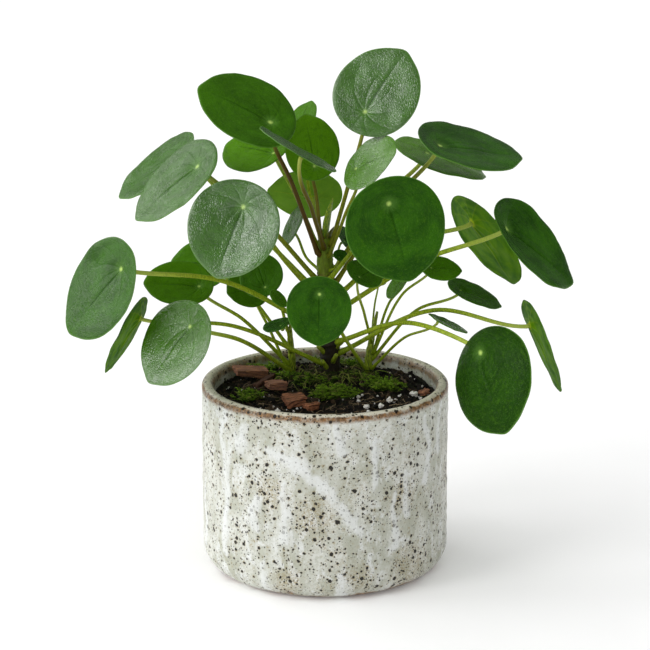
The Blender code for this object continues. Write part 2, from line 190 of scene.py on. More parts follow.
# Lumps on the mix: place, size, and turn in degrees. CHIPS[WET_CHIP - 1] is a dark, wet one.
Lump = namedtuple("Lump", "place size spin")
CHIPS = (
    Lump((-43, 26), (18, 9, 5), 10),
    Lump((-34, 13), (19, 3.5, 3), 54),
    Lump((-28, 1), (11, 10, 5), 35),
    Lump((-17, -23), (11, 15, 5), 12),
    Lump((-7, -36), (9, 5, 4), 35),
    Lump((56, -5), (5, 4, 3), 40),
)
WET_CHIP = 2
MOSSES = (
    Lump((-43, -13), (15, 12, 5), 0),
    Lump((5, -8), (28, 16, 6), 10),
    Lump((33, 7), (24, 14, 6), -15),
    Lump((-36, 42), (20, 10, 5), 35),
    Lump((10, 44), (26, 10, 6), -10),
)
PERLITES = (
    Lump((50, -10), (4, 4, 3), 0),
    Lump((36, -22), (3, 3, 3), 40),
    Lump((23, -33), (3, 3, 2.5), 20),
    Lump((31, -31), (3, 2.5, 2.5), 70),
    Lump((-26, -41), (3, 3, 2.5), 10),
)


# Node trees


class Finish:
    """One material, with short calls for making its nodes."""

    def __init__(self, name, roughness=0.5, specular=0.5):
        self.material = bpy.data.materials.new(name)
        self.material.use_nodes = True
        self.tree = self.material.node_tree
        self.shader = self.tree.nodes["Principled BSDF"]
        self.shader.inputs["Roughness"].default_value = roughness
        self.shader.inputs["Specular IOR Level"].default_value = specular

    def node(self, kind, inputs, **settings):
        made = self.tree.nodes.new("ShaderNode" + kind)
        for key, value in settings.items():
            setattr(made, key, value)
        for socket, value in inputs.items():
            self.feed(made.inputs[socket], value)
        return made

    def feed(self, socket, value):
        if isinstance(value, bpy.types.NodeSocket):
            self.tree.links.new(value, socket)
        else:
            socket.default_value = value

    def place(self, stretch=(1, 1, 1)):
        """The piece's own coordinates in millimetres, stretched."""
        source = self.node("TexCoord", {}).outputs["Object"]
        scale = tuple(s / MM for s in stretch)
        return self.node("Mapping", {"Vector": source, "Scale": scale}).outputs["Vector"]

    def mark(self, name):
        return self.node("Attribute", {}, attribute_name=name).outputs["Vector"]

    def split(self, vector):
        return self.node("SeparateXYZ", {"Vector": vector}).outputs

    def math(self, operation, *values):
        inputs = dict(enumerate(values))
        return self.node("Math", inputs, operation=operation).outputs[0]

    def times(self, first, second):
        return self.math("MULTIPLY", first, second)

    def ramp(self, value, low, high, to_low=0.0, to_high=1.0):
        """A smooth step between two values."""
        inputs = {"Value": value, "From Min": low, "From Max": high, "To Min": to_low, "To Max": to_high}
        return self.node("MapRange", inputs, interpolation_type="SMOOTHSTEP").outputs["Result"]

    def noise(self, vector, scale, detail=3.0, roughness=0.5, distortion=0.0):
        inputs = {"Vector": vector, "Scale": scale, "Detail": detail, "Roughness": roughness,
                  "Distortion": distortion}
        return self.node("TexNoise", inputs).outputs["Fac"]

    def sway(self, vector, scale, detail=3.0, roughness=0.5, distortion=0.0):
        """Noise around zero."""
        return self.math("SUBTRACT", self.noise(vector, scale, detail, roughness, distortion), 0.5)

    def cells(self, vector, scale, feature="F1"):
        return self.node("TexVoronoi", {"Vector": vector, "Scale": scale}, feature=feature).outputs

    def mix(self, factor, first, second, blend="MIX"):
        """Colours mixed by a factor; a plain colour has three values."""
        made = self.node("Mix", {0: factor}, data_type="RGBA", blend_type=blend)
        for socket, value in ((made.inputs[6], first), (made.inputs[7], second)):
            self.feed(socket, value if isinstance(value, bpy.types.NodeSocket) else (*value, 1))
        return made.outputs[2]

    def colour(self, value):
        self.feed(self.shader.inputs["Base Color"], value)

    def roughness(self, value):
        self.feed(self.shader.inputs["Roughness"], value)

    def bump(self, height, depth, strength=1.0):
        """Relief in millimetres."""
        last = self.shader.inputs["Normal"]
        inputs = {"Height": height, "Distance": depth * MM, "Strength": strength}
        if last.is_linked:
            inputs["Normal"] = last.links[0].from_socket
        self.feed(last, self.node("Bump", inputs).outputs["Normal"])


# Shapes


class Shell:
    """Points, faces and named values of one piece, gathered before its mesh is made."""

    def __init__(self):
        self.points, self.faces, self.finishes = [], [], []
        self.marks, self.tones = [], []

    def add(self, points, faces, finish=0, marks=None, tone=(0, 0, 0)):
        first = len(self.points)
        self.points += [tuple(p) for p in points]
        self.faces += [[i + first for i in face] for face in faces]
        self.finishes += [finish] * len(faces)
        self.marks += [tuple(m) for m in marks] if marks is not None else [(0, 0, 0)] * len(points)
        self.tones += [tuple(tone)] * len(points)

    def build(self, name, finishes, smooth=True):
        """Makes the piece, from millimetres, and puts it on the body."""
        mesh = bpy.data.meshes.new(name)
        mesh.from_pydata([Vector(p) * MM for p in self.points], [], self.faces)
        mesh.polygons.foreach_set("material_index", self.finishes)
        for finish in finishes:
            mesh.materials.append(finish.material)
        for title, values in (("mark", self.marks), ("tone", self.tones)):
            layer = mesh.attributes.new(title, "FLOAT_VECTOR", "POINT")
            layer.data.foreach_set("vector", np.array(values, np.float32).ravel())
        if smooth:
            mesh.shade_smooth()
        mesh.validate()
        piece = bpy.data.objects.new(name, mesh)
        bpy.context.scene.collection.objects.link(piece)
        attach(piece, BODY)
        return piece


def ring_faces(rings, sides, first=0):
    """Quads between rings of points, in the order that faces them outward on a tube going up."""
    faces = []
    for ring in range(rings - 1):
        low, high = first + ring * sides, first + (ring + 1) * sides
        for i in range(sides):
            j = (i + 1) % sides
            faces.append((low + i, low + j, high + j, high + i))
    return faces


def fan(centre, first, sides):
    """Triangles from one point to a ring of points."""
    return [(centre, first + k, first + (k + 1) % sides) for k in range(sides)]


def turned_over(faces):
    return [face[::-1] for face in faces]


def tube(path, radii, sides, squash=1.0):
    """A closed tube along a path: its points, faces, and each point's share of the way and side."""
    path = [Vector(p) for p in path]
    along = [(b - a).normalized() for a, b in zip(path, path[1:])]
    along = [along[0], *[(a + b).normalized() for a, b in zip(along, along[1:])], along[-1]]
    across = along[0].orthogonal().normalized()
    points, marks = [], []
    for i, (centre, direction, radius) in enumerate(zip(path, along, radii)):
        across = (across - direction * across.dot(direction)).normalized()
        other = direction.cross(across)
        for k in range(sides):
            turn = 2 * pi * k / sides
            points.append(centre + radius * (across * cos(turn) + squash * other * sin(turn)))
            marks.append((i / (len(path) - 1), k / sides, 0))
    faces = ring_faces(len(path), sides)
    faces.append(tuple(range(sides))[::-1])
    top = (len(path) - 1) * sides
    faces.append(tuple(range(top, top + sides)))
    return points, faces, marks


def bend(start, leaving, end, arriving, steps):
    """Points of a cubic curve between two places, without the first."""
    made = []
    for i in range(1, steps + 1):
        s = i / steps
        made.append(start * (2 * s**3 - 3 * s**2 + 1) + leaving * (s**3 - 2 * s**2 + s)
                    + end * (3 * s**2 - 2 * s**3) + arriving * (s**3 - s**2))
    return made


def soil_height(x, y):
    """The mix's surface: level at the wall, with a mound under the plant."""
    across = (x - MOUND_PLACE[0]) / MOUND_SPREAD[0]
    deep = (y - MOUND_PLACE[1]) / MOUND_SPREAD[1]
    return SOIL_LEVEL + MOUND_HEIGHT * exp(-across * across - deep * deep)


def lumpy_height(x, y):
    """The mix's surface with its clods and hollows."""
    place = Vector((x, y, 3.0))
    clods = 1 - 2 * noise.voronoi(place * 0.28)[0][0]
    crumbs = 1 - 2 * noise.voronoi(place * 0.7)[0][0]
    hollows = noise.noise(place * 0.09)
    return soil_height(x, y) + 0.9 * clods + 0.5 * crumbs + 0.9 * hollows - 0.6


def unit_ball(detail):
    """The points and faces of a unit ball made of triangles."""
    bpy.ops.mesh.primitive_ico_sphere_add(subdivisions=detail, radius=1)
    ball = bpy.context.object
    points = np.array([v.co for v in ball.data.vertices])
    faces = [tuple(p.vertices) for p in ball.data.polygons]
    mesh = ball.data
    bpy.data.objects.remove(ball)
    bpy.data.meshes.remove(mesh)
    return points, faces


def any_turn(rng):
    """A random rotation."""
    axis = rng.normal(size=3)
    return np.array(Matrix.Rotation(rng.uniform(0, 2 * pi), 3, Vector(axis)))


def rough_ball(ball, rng, size, roughness, grain):
    """A ball's points pushed about by noise, stretched and turned."""
    seed = Vector(rng.uniform(-50, 50, 3))
    push = [1 + roughness * noise.noise(Vector(p) * grain + seed) for p in ball]
    return (ball * np.array(push)[:, None] * np.array(size) / 2) @ any_turn(rng).T


# Leaves


def blade_axes(leaf):
    """The blade's upward normal, the direction of its tip, and its side."""
    azimuth, elevation = map(radians, leaf.face)
    level = cos(elevation)
    normal = Vector((level * cos(azimuth), level * sin(azimuth), sin(elevation)))
    downhill = (normal * normal.z - Vector((0, 0, 1))).normalized()
    tip = Matrix.Rotation(radians(leaf.turn), 3, normal) @ downhill
    return normal, tip, normal.cross(tip)


def vein_share(along, across):
    """How near a point of the blade is to a main vein, from 0 to 1, in lengths of the blade."""
    reach = hypot(along, across)
    turn = atan2(abs(across), along) + VEIN_CURL * reach
    off = abs((turn / VEIN_STEP + 0.5) % 1 - 0.5) * VEIN_STEP * reach
    lateral = max(0.0, 1 - off / VEIN_WIDTH) * min(1.0, reach / 0.08)
    middle = max(0.0, 1 - abs(across) / VEIN_WIDTH) if along > 0 else 0.0
    return max(0.45 * lateral, middle)


def blade_place(leaf, number, share, angle):
    """A point of the blade's upper side as (along, across, rise) in millimetres."""
    length, width = leaf.length, leaf.width
    apex = 0.03 * exp(-((angle / 0.22) ** 2))
    along = share * length * (cos(angle) / 2 + apex + leaf.ahead)
    across = share * width / 2 * sin(angle) * (1 - 0.07 * cos(angle))
    x, y = along / length, across / length
    rise = DIMPLE * length * (1 - exp(-((share / 0.2) ** 2)))
    crease = FOLD_ROUND * length
    rise += leaf.cup * length * share * share - leaf.fold * (hypot(across, crease) - crease)
    wave = sin(2 * angle + number * 2.1) + 0.6 * sin(3 * angle + number * 1.3) + 0.3 * sin(7 * angle + number)
    rise += WAVES * length * share**2 * wave
    seed = Vector((number * 9.7, 0, 0))
    rise += SWELLS * length * noise.noise(Vector((x, y, 0)) * 5 + seed) * min(1.0, 2 * share)
    rise += PUCKERS * length * noise.noise(Vector((x, y, 3)) * 14 + seed) * min(1.0, 2 * share)
    rise -= SUNKEN_VEINS * length * vein_share(x, y) * (1 - share**4)
    rise -= TURNED_RIM * length * max(0.0, (share - TURN_START) / (1 - TURN_START)) ** 2
    return along, across, rise


def add_blade(shell, leaf, number, settings):
    """Both sides of the blade, with a rounded rim."""
    sides, rings = settings.blade_sides, settings.blade_rings
    normal, tip, side = blade_axes(leaf)
    dot = Vector(leaf.dot)
    shares = [(i / rings) ** 0.9 for i in range(rings + 1)]
    thickness = settings.blade_thickness / MM

    def level(depth_of, shares_used, grow=0.0):
        points, marks = [], []
        for share in shares_used:
            for k in range(sides):
                angle = (2 * pi * k / sides + pi) % (2 * pi) - pi
                along, across, rise = blade_place(leaf, number, share, angle)
                outward = Vector((along - leaf.ahead * leaf.length, across)).normalized() * grow
                along, across = along + outward.x, across + outward.y
                rise -= depth_of(share)
                points.append(dot + tip * along + side * across + normal * rise)
                marks.append((along / leaf.length, across / leaf.length, share))
        return points, marks

    def depth(share):
        return thickness * (1.15 - 0.55 * share**3)

    top, top_marks = level(lambda share: 0.0, shares[1:])
    rim, rim_marks = level(lambda share: depth(1) / 2, [1.0], RIM_GROWTH)
    under, under_marks = level(depth, shares[1:][::-1])
    points = [dot, *top, *rim, *under, dot - normal * depth(0)]
    marks = [(0, 0, 0), *top_marks, *rim_marks, *under_marks, (0, 0, 0)]
    # The tone's first value carries the young green with its painted light, or the painted shade.
    tone = (YOUTH_AND_PAINTED_LIGHT.get(number, 0.0), 0, number)
    faces = fan(0, 1, sides) + turned_over(ring_faces(2 * rings + 1, sides, 1))
    faces += turned_over(fan(len(points) - 1, 1 + 2 * rings * sides, sides))
    upper = sides * (rings + 1)
    first = len(shell.faces)
    shell.add(points, faces, marks=marks, tone=tone)
    shell.finishes[first:] = [0] * upper + [1] * (len(faces) - upper)


def petiole_radius(leaf):
    return PETIOLE_LEAST + PETIOLE_GAIN * leaf.length


def stem_at(stem, height):
    """The stem's centre and radius at a height."""
    heights = [p[2] for p in stem.points]
    x = np.interp(height, heights, [p[0] for p in stem.points])
    y = np.interp(height, heights, [p[1] for p in stem.points])
    return Vector((x, y, height)), float(np.interp(height, heights, stem.radii))


def petiole_path(leaf, normal, steps):
    """From the stem's skin, over the bowed middle, up into the blade's underside."""
    axis, stem_radius = stem_at(STEMS[leaf.stem], leaf.height)
    dot = Vector(leaf.dot)
    outward = Vector((dot.x - axis.x, dot.y - axis.y, 0)).normalized()
    root = axis + outward * (stem_radius + petiole_radius(leaf))
    under = dot - normal * 2.5
    middle = (root + under) / 2 + Vector((0, 0, leaf.bow))
    first, second = middle - root, under - middle
    through = (first.normalized() + second.normalized()).normalized()
    arriving = (second.normalized() * 1.5 + normal).normalized()
    path = [axis + outward * stem_radius * 0.6 - Vector((0, 0, 2)), root]
    path += bend(root, first, middle, through * first.length, steps)
    path += bend(middle, through * second.length, under, arriving * second.length, steps)
    return path + [dot - normal * 0.6]


def add_petiole(shell, leaf, number):
    """The petiole, swollen where it leaves the stem and where it meets the blade."""
    normal = blade_axes(leaf)[0]
    path = petiole_path(leaf, normal, 14)
    count = len(path) - 1
    radii = []
    for i in range(count + 1):
        share = i / count
        base = 0.45 * exp(-((share / 0.06) ** 2))
        top = 0.25 * exp(-(((1 - share) / 0.03) ** 2))
        radii.append(petiole_radius(leaf) * (1.05 - 0.2 * share + base + top))
    points, faces, marks = tube(path, radii, 12, 0.9)
    shell.add(points, faces, 2, marks, (BROWN_PETIOLES.get(number, 0.0), 0, 0))


def blade_pattern(finish):
    """Values shared by both sides of a blade: places, nearness to a vein, and nearness to the dot."""
    mark = finish.mark("mark")
    x, y, share = finish.split(mark)
    flat = finish.node("CombineXYZ", {"X": x, "Y": y}).outputs[0]
    reach = finish.node("VectorMath", {0: flat}, operation="LENGTH").outputs["Value"]
    side = finish.math("ABSOLUTE", y)
    wander = finish.times(finish.sway(mark, 6.0, 2.0), 0.25)
    turn = finish.math("MULTIPLY_ADD", reach, VEIN_CURL, finish.math("ARCTAN2", side, x))
    turn = finish.math("ADD", turn, wander)
    off = finish.times(finish.math("PINGPONG", turn, VEIN_STEP / 2), reach)
    lateral = finish.times(finish.ramp(off, 0.014, 0.002), finish.ramp(reach, 0.6, 0.05))
    forward = finish.ramp(x, 0.0, 0.05)
    middle = finish.times(finish.ramp(side, 0.012, 0.002), finish.ramp(reach, 0.78, 0.3))
    middle = finish.times(middle, forward)
    vein = finish.math("MAXIMUM", finish.times(lateral, 0.4), middle)
    net = finish.cells(mark, 30.0, "DISTANCE_TO_EDGE")["Distance"]
    return mark, reach, share, vein, net


def leaf_top_finish(settings, shine):
    finish = Finish(f"leaf_top_{shine}", 0.33, SHINES[shine])
    mark, reach, share, vein, net = blade_pattern(finish)
    youth_and_painted_light, _, number = finish.split(finish.mark("tone"))
    seeded = finish.node("VectorMath", {0: mark, 1: finish.node("CombineXYZ", {"Z": number}).outputs[0]},
                         operation="ADD").outputs[0]
    broad = finish.noise(seeded, 3.0, 3.0)
    base = finish.mix(finish.ramp(broad, 0.32, 0.68), settings.dark_green, settings.mid_green)
    # Young green: partly young leaves' own colour, partly painted light on blades in shade.
    base = finish.mix(finish.math("MAXIMUM", youth_and_painted_light, 0.0), base, settings.lit_green)
    # Painted shade: below 0 the blade darkens towards the painted-shade green.
    base = finish.mix(finish.ramp(youth_and_painted_light, 0.0, -1.0), base, settings.painted_shade_green)
    dark = finish.ramp(finish.noise(seeded, 8.0, 5.0, 0.65, 0.5), 0.5, 0.72, 0.0, 0.45)
    base = finish.mix(dark, base, settings.dark_green)
    mottle = finish.ramp(finish.noise(seeded, 19.0, 4.0, 0.6), 0.46, 0.74, 0.0, 0.34)
    base = finish.mix(mottle, base, finish.mix(0.6, base, settings.lit_green))
    meshwork = finish.ramp(net, 0.10, 0.0, 0.0, 0.32)
    base = finish.mix(meshwork, base, settings.dark_green)
    speckle = finish.ramp(finish.noise(seeded, 75.0, 2.0), 0.5, 0.72, 0.0, 0.25)
    base = finish.mix(speckle, base, settings.vein_green)
    base = finish.mix(finish.times(vein, 0.5), base, settings.dark_green)
    halo = finish.ramp(reach, 0.11, 0.015, 0.0, 0.5)
    base = finish.mix(halo, base, settings.vein_green)
    core = finish.ramp(reach, 0.036, 0.004)
    base = finish.mix(core, base, settings.dot_green)
    rim = finish.ramp(share, 0.98, 1.0, 0.0, 0.7)
    finish.colour(finish.mix(rim, base, settings.vein_green))
    patchy = finish.noise(seeded, 5.0, 5.0)
    worn = finish.ramp(finish.noise(seeded, 26.0, 4.0, 0.6), 0.35, 0.75, 0.0, 0.12)
    finish.roughness(finish.math("ADD", worn, finish.ramp(patchy, 0.3, 0.7, 0.20, 0.29)))
    finish.bump(vein, -0.35, 0.6)
    finish.bump(finish.ramp(net, 0.0, 0.3), 0.15, 0.6)
    finish.bump(finish.noise(seeded, 50.0, 3.0), 0.09, 0.5)
    return finish


def leaf_under_finish(settings):
    finish = Finish("leaf_underside", 0.55, 0.02)
    mark, reach, _, vein, net = blade_pattern(finish)
    youth_and_painted_light, _, _ = finish.split(finish.mark("tone"))
    broad = finish.noise(mark, 4.0, 3.0)
    base = finish.mix(finish.ramp(broad, 0.3, 0.7), settings.under_green, settings.mid_green)
    # Painted light: the tone's first value brightens the underside as if light shone through it from behind.
    base = finish.mix(finish.times(youth_and_painted_light, 0.7), base, settings.under_lit)
    base = finish.mix(finish.ramp(net, 0.1, 0.0, 0.0, 0.2), base, settings.dark_green)
    base = finish.mix(finish.times(vein, 0.35), base, settings.petiole_green)
    core = finish.ramp(reach, 0.06, 0.02)
    finish.colour(finish.mix(core, base, settings.petiole_green))
    finish.bump(vein, 0.3, 0.6)
    finish.bump(finish.noise(mark, 60.0, 3.0), 0.15, 0.5)
    return finish


def petiole_finish(settings):
    finish = Finish("petiole_skin", 0.45, 0.12)
    share, _, _ = finish.split(finish.mark("mark"))
    brown, _, _ = finish.split(finish.mark("tone"))
    place = finish.place()
    streak = finish.noise(finish.place((1, 1, 0.25)), 1.6, 3.0)
    base = finish.mix(finish.ramp(streak, 0.3, 0.7), settings.petiole_shade, settings.petiole_green)
    pale = finish.ramp(share, 0.55, 1.0, 0.0, 0.7)
    base = finish.mix(pale, base, settings.petiole_pale)
    dark = finish.times(finish.ramp(share, 0.0, 0.25, 1.0, 0.0), 0.35)
    base = finish.mix(dark, base, settings.petiole_shade)
    browning = finish.times(brown, finish.ramp(share, 1.0, 0.7, 0.25, 1.0))
    finish.colour(finish.mix(browning, base, settings.petiole_brown))
    finish.bump(finish.noise(place, 2.5, 3.0), 0.12, 0.6)
    finish.bump(streak, 0.1, 0.6)
    return finish


# Stems


def stem_path(stem, steps, sink=4.0):
    """Points and radii up a stem, from just under the mix."""
    x, y, _ = stem.points[0]
    start = soil_height(x, y) - sink
    heights = [float(z) for z in np.linspace(start, stem.points[-1][2], steps)]
    path, radii = [], []
    for height in heights:
        centre, radius = stem_at(stem, height)
        path.append(centre)
        radii.append(radius)
    return path, radii


def scarred_stem(stem, steps, sides, scars, depth):
    """A stem whose skin has rings and scars where old petioles fell, and is pushed about by noise all the way
    up.
    """
    path, radii = stem_path(stem, steps)
    points, faces, _ = tube(path, radii, sides)
    centres = [path[i // sides] for i in range(len(points))]
    shaped = []
    for centre, point in zip(centres, points):
        out = point - centre
        turn = atan2(out.y, out.x)
        push = 0.10 * noise.noise(Vector((turn * 1.5, 0, centre.z * 0.35)))
        push += 0.07 * noise.noise(Vector((turn * 5, 0, centre.z * 0.9)))
        for number in range(scars):
            height = path[0].z + (number + 0.7) * (path[-1].z - path[0].z) / scars
            facing = number * 2.4
            near = exp(-((centre.z - height) / 1.3) ** 2)
            round_it = 0.35 + 0.65 * max(0.0, cos(turn - facing)) ** 2
            push += depth * near * round_it
        shaped.append(centre + out * (1 + push))
    return shaped, faces


def stem_finish(settings):
    finish = Finish("stem_skin", 0.62, 0.35)
    place = finish.place()
    _, _, height = finish.split(place)
    wander = finish.noise(place, 0.25, 3.0)
    level = finish.math("MULTIPLY_ADD", wander, 10.0, height)
    cork = finish.mix(finish.ramp(finish.noise(finish.place((1, 1, 0.3)), 1.2, 5.0), 0.35, 0.7),
                      settings.cork_dark, settings.cork)
    skin = finish.mix(finish.ramp(finish.noise(finish.place((1, 1, 0.35)), 0.8, 4.0), 0.35, 0.7),
                      settings.stem_green, settings.petiole_shade)
    old = finish.mix(finish.ramp(level, 150.0, 163.0), cork, settings.stem_brown)
    finish.colour(finish.mix(finish.ramp(level, 166.0, 174.0), old, skin))
    finish.bump(finish.noise(finish.place((1, 1, 0.4)), 1.6, 5.0), 0.6, 0.8)
    finish.bump(finish.cells(finish.place((1, 1, 0.5)), 0.9, "DISTANCE_TO_EDGE")["Distance"], 0.4, 0.5)
    return finish


def shoot_finish(settings):
    finish = Finish("shoot_skin", 0.5, 0.4)
    place = finish.place()
    _, _, height = finish.split(place)
    streak = finish.noise(finish.place((1, 1, 0.3)), 1.5, 4.0)
    base = finish.mix(finish.ramp(streak, 0.35, 0.7), settings.stem_green, settings.petiole_green)
    low = finish.ramp(finish.math("MULTIPLY_ADD", streak, 8.0, height), 106.0, 113.0, 0.8, 0.0)
    finish.colour(finish.mix(low, base, settings.cork))
    finish.bump(streak, 0.3, 0.7)
    return finish


def young_finish(settings):
    finish = Finish("young_leaf", 0.45, 0.5)
    place = finish.place((1, 1, 0.25))
    streak = finish.noise(place, 1.8, 4.0)
    base = finish.mix(finish.ramp(streak, 0.35, 0.65), settings.petiole_green, settings.lit_green)
    brown, _, _ = finish.split(finish.mark("tone"))
    finish.colour(finish.mix(finish.times(brown, 0.8), base, settings.petiole_brown))
    finish.bump(streak, 0.25, 0.7)
    return finish


def add_scale(shell, base, lean, length, width, brown):
    """A thin pointed scale or folded leaflet, curved along its length."""
    steps = 8
    lean = Vector(lean).normalized()
    path, radii = [], []
    for i in range(steps + 1):
        share = i / steps
        path.append(Vector(base) + Vector((0, 0, length * share)) + lean * (length * 0.35 * share**2))
        radii.append(max(0.12, width / 2 * sin(pi * (0.12 + 0.88 * share)) ** 0.8))
    points, faces, _ = tube(path, radii, 10, 0.32)
    shell.add(points, faces, tone=(brown, 0, 0))


# Pot


# White glaze that ran down the pot: (arc, height) of each end, and half its width, in millimetres.
# An arc is measured round the pot from its front.
GLAZE_RUNS = (
    ((-63, 104), (-63, 55), 3.6),
    ((-62, 60), (-64, 20), 2.6),
    ((-48, 98), (-50, 84), 4.5),
    ((-32, 86), (-14, 79), 4.5),
    ((-14, 79), (3, 64), 4.8),
    ((3, 64), (20, 42), 4.2),
    ((-21, 68), (-22, 36), 4.0),
    ((-40, 58), (-41, 40), 3.0),
    ((49, 72), (50, 46), 2.4),
    ((40, 60), (41, 30), 3.0),
    ((27, 92), (27, 66), 3.2),
    ((8, 102), (9, 88), 4.0),
    ((66, 100), (66, 62), 3.0),
    ((10, 16), (10, 0), 3.0),
    ((-35, 20), (-36, 6), 3.4),
)
# Where the glaze is thin and stained: (arc, height), reach.
STAINS = (((52, 14), 15), ((-6, 50), 13), ((46, 58), 10), ((-22, 12), 10), ((-30, 62), 10), ((20, 14), 9))
# Specks of three sizes: cells per millimetre, how rare, and the widest radius in millimetres.
SPECKS = ((0.23, -0.25, 1.15), (0.42, -0.15, 0.68), (0.8, -0.05, 0.36))
BACK_RUNS = 16
BACK_STAINS = 6
# Relief in millimetres: how far a run stands out, how far a stain lies in, and the groove under the lip.
RUN_RELIEF = 0.22
STAIN_RELIEF = 0.1
GROOVE_DEPTH = 0.6
GROOVE_BELOW_LIP = 9.5
GROOVE_WIDTH = 1.2


def pot_profile():
    """From inside to under the foot: (radius, height, way along the surface from the top of the lip)."""
    lip = POT_WALL / 2
    inner = POT_RADIUS - POT_WALL
    side = lip * pi / 2
    points = [(inner * s, POT_FLOOR, -POT_HEIGHT) for s in (0.2, 0.5, 0.8)]
    for a in np.linspace(0, pi / 2, 6):
        radius, height = inner - INNER_ROUND * (1 - sin(a)), POT_FLOOR + INNER_ROUND * (1 - cos(a))
        points.append((radius, height, POT_FLOOR - POT_HEIGHT))
    for z in np.linspace(POT_FLOOR + INNER_ROUND + 4, POT_HEIGHT - lip - 1, 40):
        points.append((inner, z, -side - (POT_HEIGHT - lip - z)))
    for a in np.linspace(pi, 0, 21):
        points.append((inner + lip + lip * cos(a), POT_HEIGHT - lip + lip * sin(a), lip * (pi / 2 - a)))
    for z in np.linspace(POT_HEIGHT - lip - 0.8, FOOT_ROUND + 0.5, 110):
        points.append((POT_RADIUS, z, side + POT_HEIGHT - lip - z))
    below, flat = side + POT_HEIGHT - lip, POT_RADIUS - FOOT_ROUND
    for a in np.linspace(0, pi / 2, 16):
        points.append((flat + FOOT_ROUND * cos(a), FOOT_ROUND - FOOT_ROUND * sin(a), below))
    points += [(flat * s, 0, below) for s in (0.8, 0.5, 0.2)]
    return points


def thrown_wobble(height, turn):
    """How a hand-thrown wall strays from a true cylinder, in millimetres."""
    ring = Vector((cos(turn), sin(turn), 0))
    strays = 0.35 * noise.noise(ring * 0.9 + Vector((0, 0, height * 0.012)))
    uneven = 0.5 + noise.noise(ring + Vector((0, 0, height * 0.05)))
    rings = 0.14 * sin(height * 0.78 + 0.8 * sin(turn)) * uneven
    dents = 0.30 * noise.noise(ring * 6 + Vector((0, 0, height * 0.09)))
    groove = -GROOVE_DEPTH * exp(-((height - POT_HEIGHT + GROOVE_BELOW_LIP) / GROOVE_WIDTH) ** 2)
    return (strays + rings + dents + groove - 0.15) * min(1.0, height / 6)


def segment_distance(x, z, start, end):
    """How far a place is from a segment, and how far along it lies."""
    dx, dz = end[0] - start[0], end[1] - start[1]
    share = ((x - start[0]) * dx + (z - start[1]) * dz) / (dx * dx + dz * dz)
    share = np.clip(share, 0, 1)
    return np.hypot(x - start[0] - dx * share, z - start[1] - dz * share), share


def glaze_at(arc, height, runs, stains):
    """How thick the white glaze is, and how thin the stained places are, each from 0 to 1."""
    around = 2 * pi * POT_RADIUS
    warp = np.array([noise.noise(Vector((a * 0.07, h * 0.05, 0))) for a, h in zip(arc, height)])
    thick = np.zeros(len(arc))
    for start, end, half in runs:
        near = (arc + 5 * warp - start[0] + around / 2) % around - around / 2 + start[0]
        distance, share = segment_distance(near, height, start, end)
        width = half * (0.75 + 0.5 * share)
        thick = np.maximum(thick, np.clip(1.25 - distance / width, 0, 1))
    thin = np.zeros(len(arc))
    for place, reach in stains:
        off = (arc - place[0] + around / 2) % around - around / 2
        distance = np.hypot(off, height - place[1])
        thin = np.maximum(thin, np.clip(1.3 - distance / reach, 0, 1))
    return thick, thin


def make_pot_shell(sides):
    rng = np.random.default_rng(3)
    runs, stains = list(GLAZE_RUNS), list(STAINS)
    for _ in range(BACK_RUNS):
        arc, top, drop = rng.uniform(80, 360), rng.uniform(35, 104), rng.uniform(15, 50)
        runs.append(((arc, top), (arc + rng.uniform(-4, 4), max(2, top - drop)), rng.uniform(2.2, 4.5)))
    for _ in range(BACK_STAINS):
        stains.append(((rng.uniform(80, 360), rng.uniform(8, 80)), rng.uniform(8, 14)))
    profile = pot_profile()
    turns = 2 * pi * np.arange(sides) / sides
    arcs = (turns + pi / 2 + pi) % (2 * pi) * POT_RADIUS - pi * POT_RADIUS
    shell = Shell()
    points, marks = [(0, 0, POT_FLOOR)], [(0, -POT_HEIGHT, 0)]
    for radius, height, way in profile:
        thick, thin = glaze_at(arcs, np.full(sides, float(height)), runs, stains)
        outside = way > POT_WALL / 2 and radius > POT_RADIUS - FOOT_ROUND / 2
        for turn, run, stain in zip(turns, thick, thin):
            out, up = radius, height
            if outside:
                out += thrown_wobble(height, turn) + RUN_RELIEF * run - STAIN_RELIEF * stain
            if height > POT_HEIGHT - POT_WALL:
                up += min(0.0, 0.3 * noise.noise(Vector((cos(turn) * 1.3, sin(turn) * 1.3, 7))) - 0.12)
            points.append((out * cos(turn), out * sin(turn), up))
            marks.append((run if outside else 0, way, stain if outside else 0))
    points.append((0, 0, 0))
    marks.append((0, POT_HEIGHT, 0))
    faces = fan(0, 1, sides) + turned_over(ring_faces(len(profile), sides, 1))
    faces += turned_over(fan(len(points) - 1, 1 + (len(profile) - 1) * sides, sides))
    shell.add(points, faces, marks=marks)
    return shell


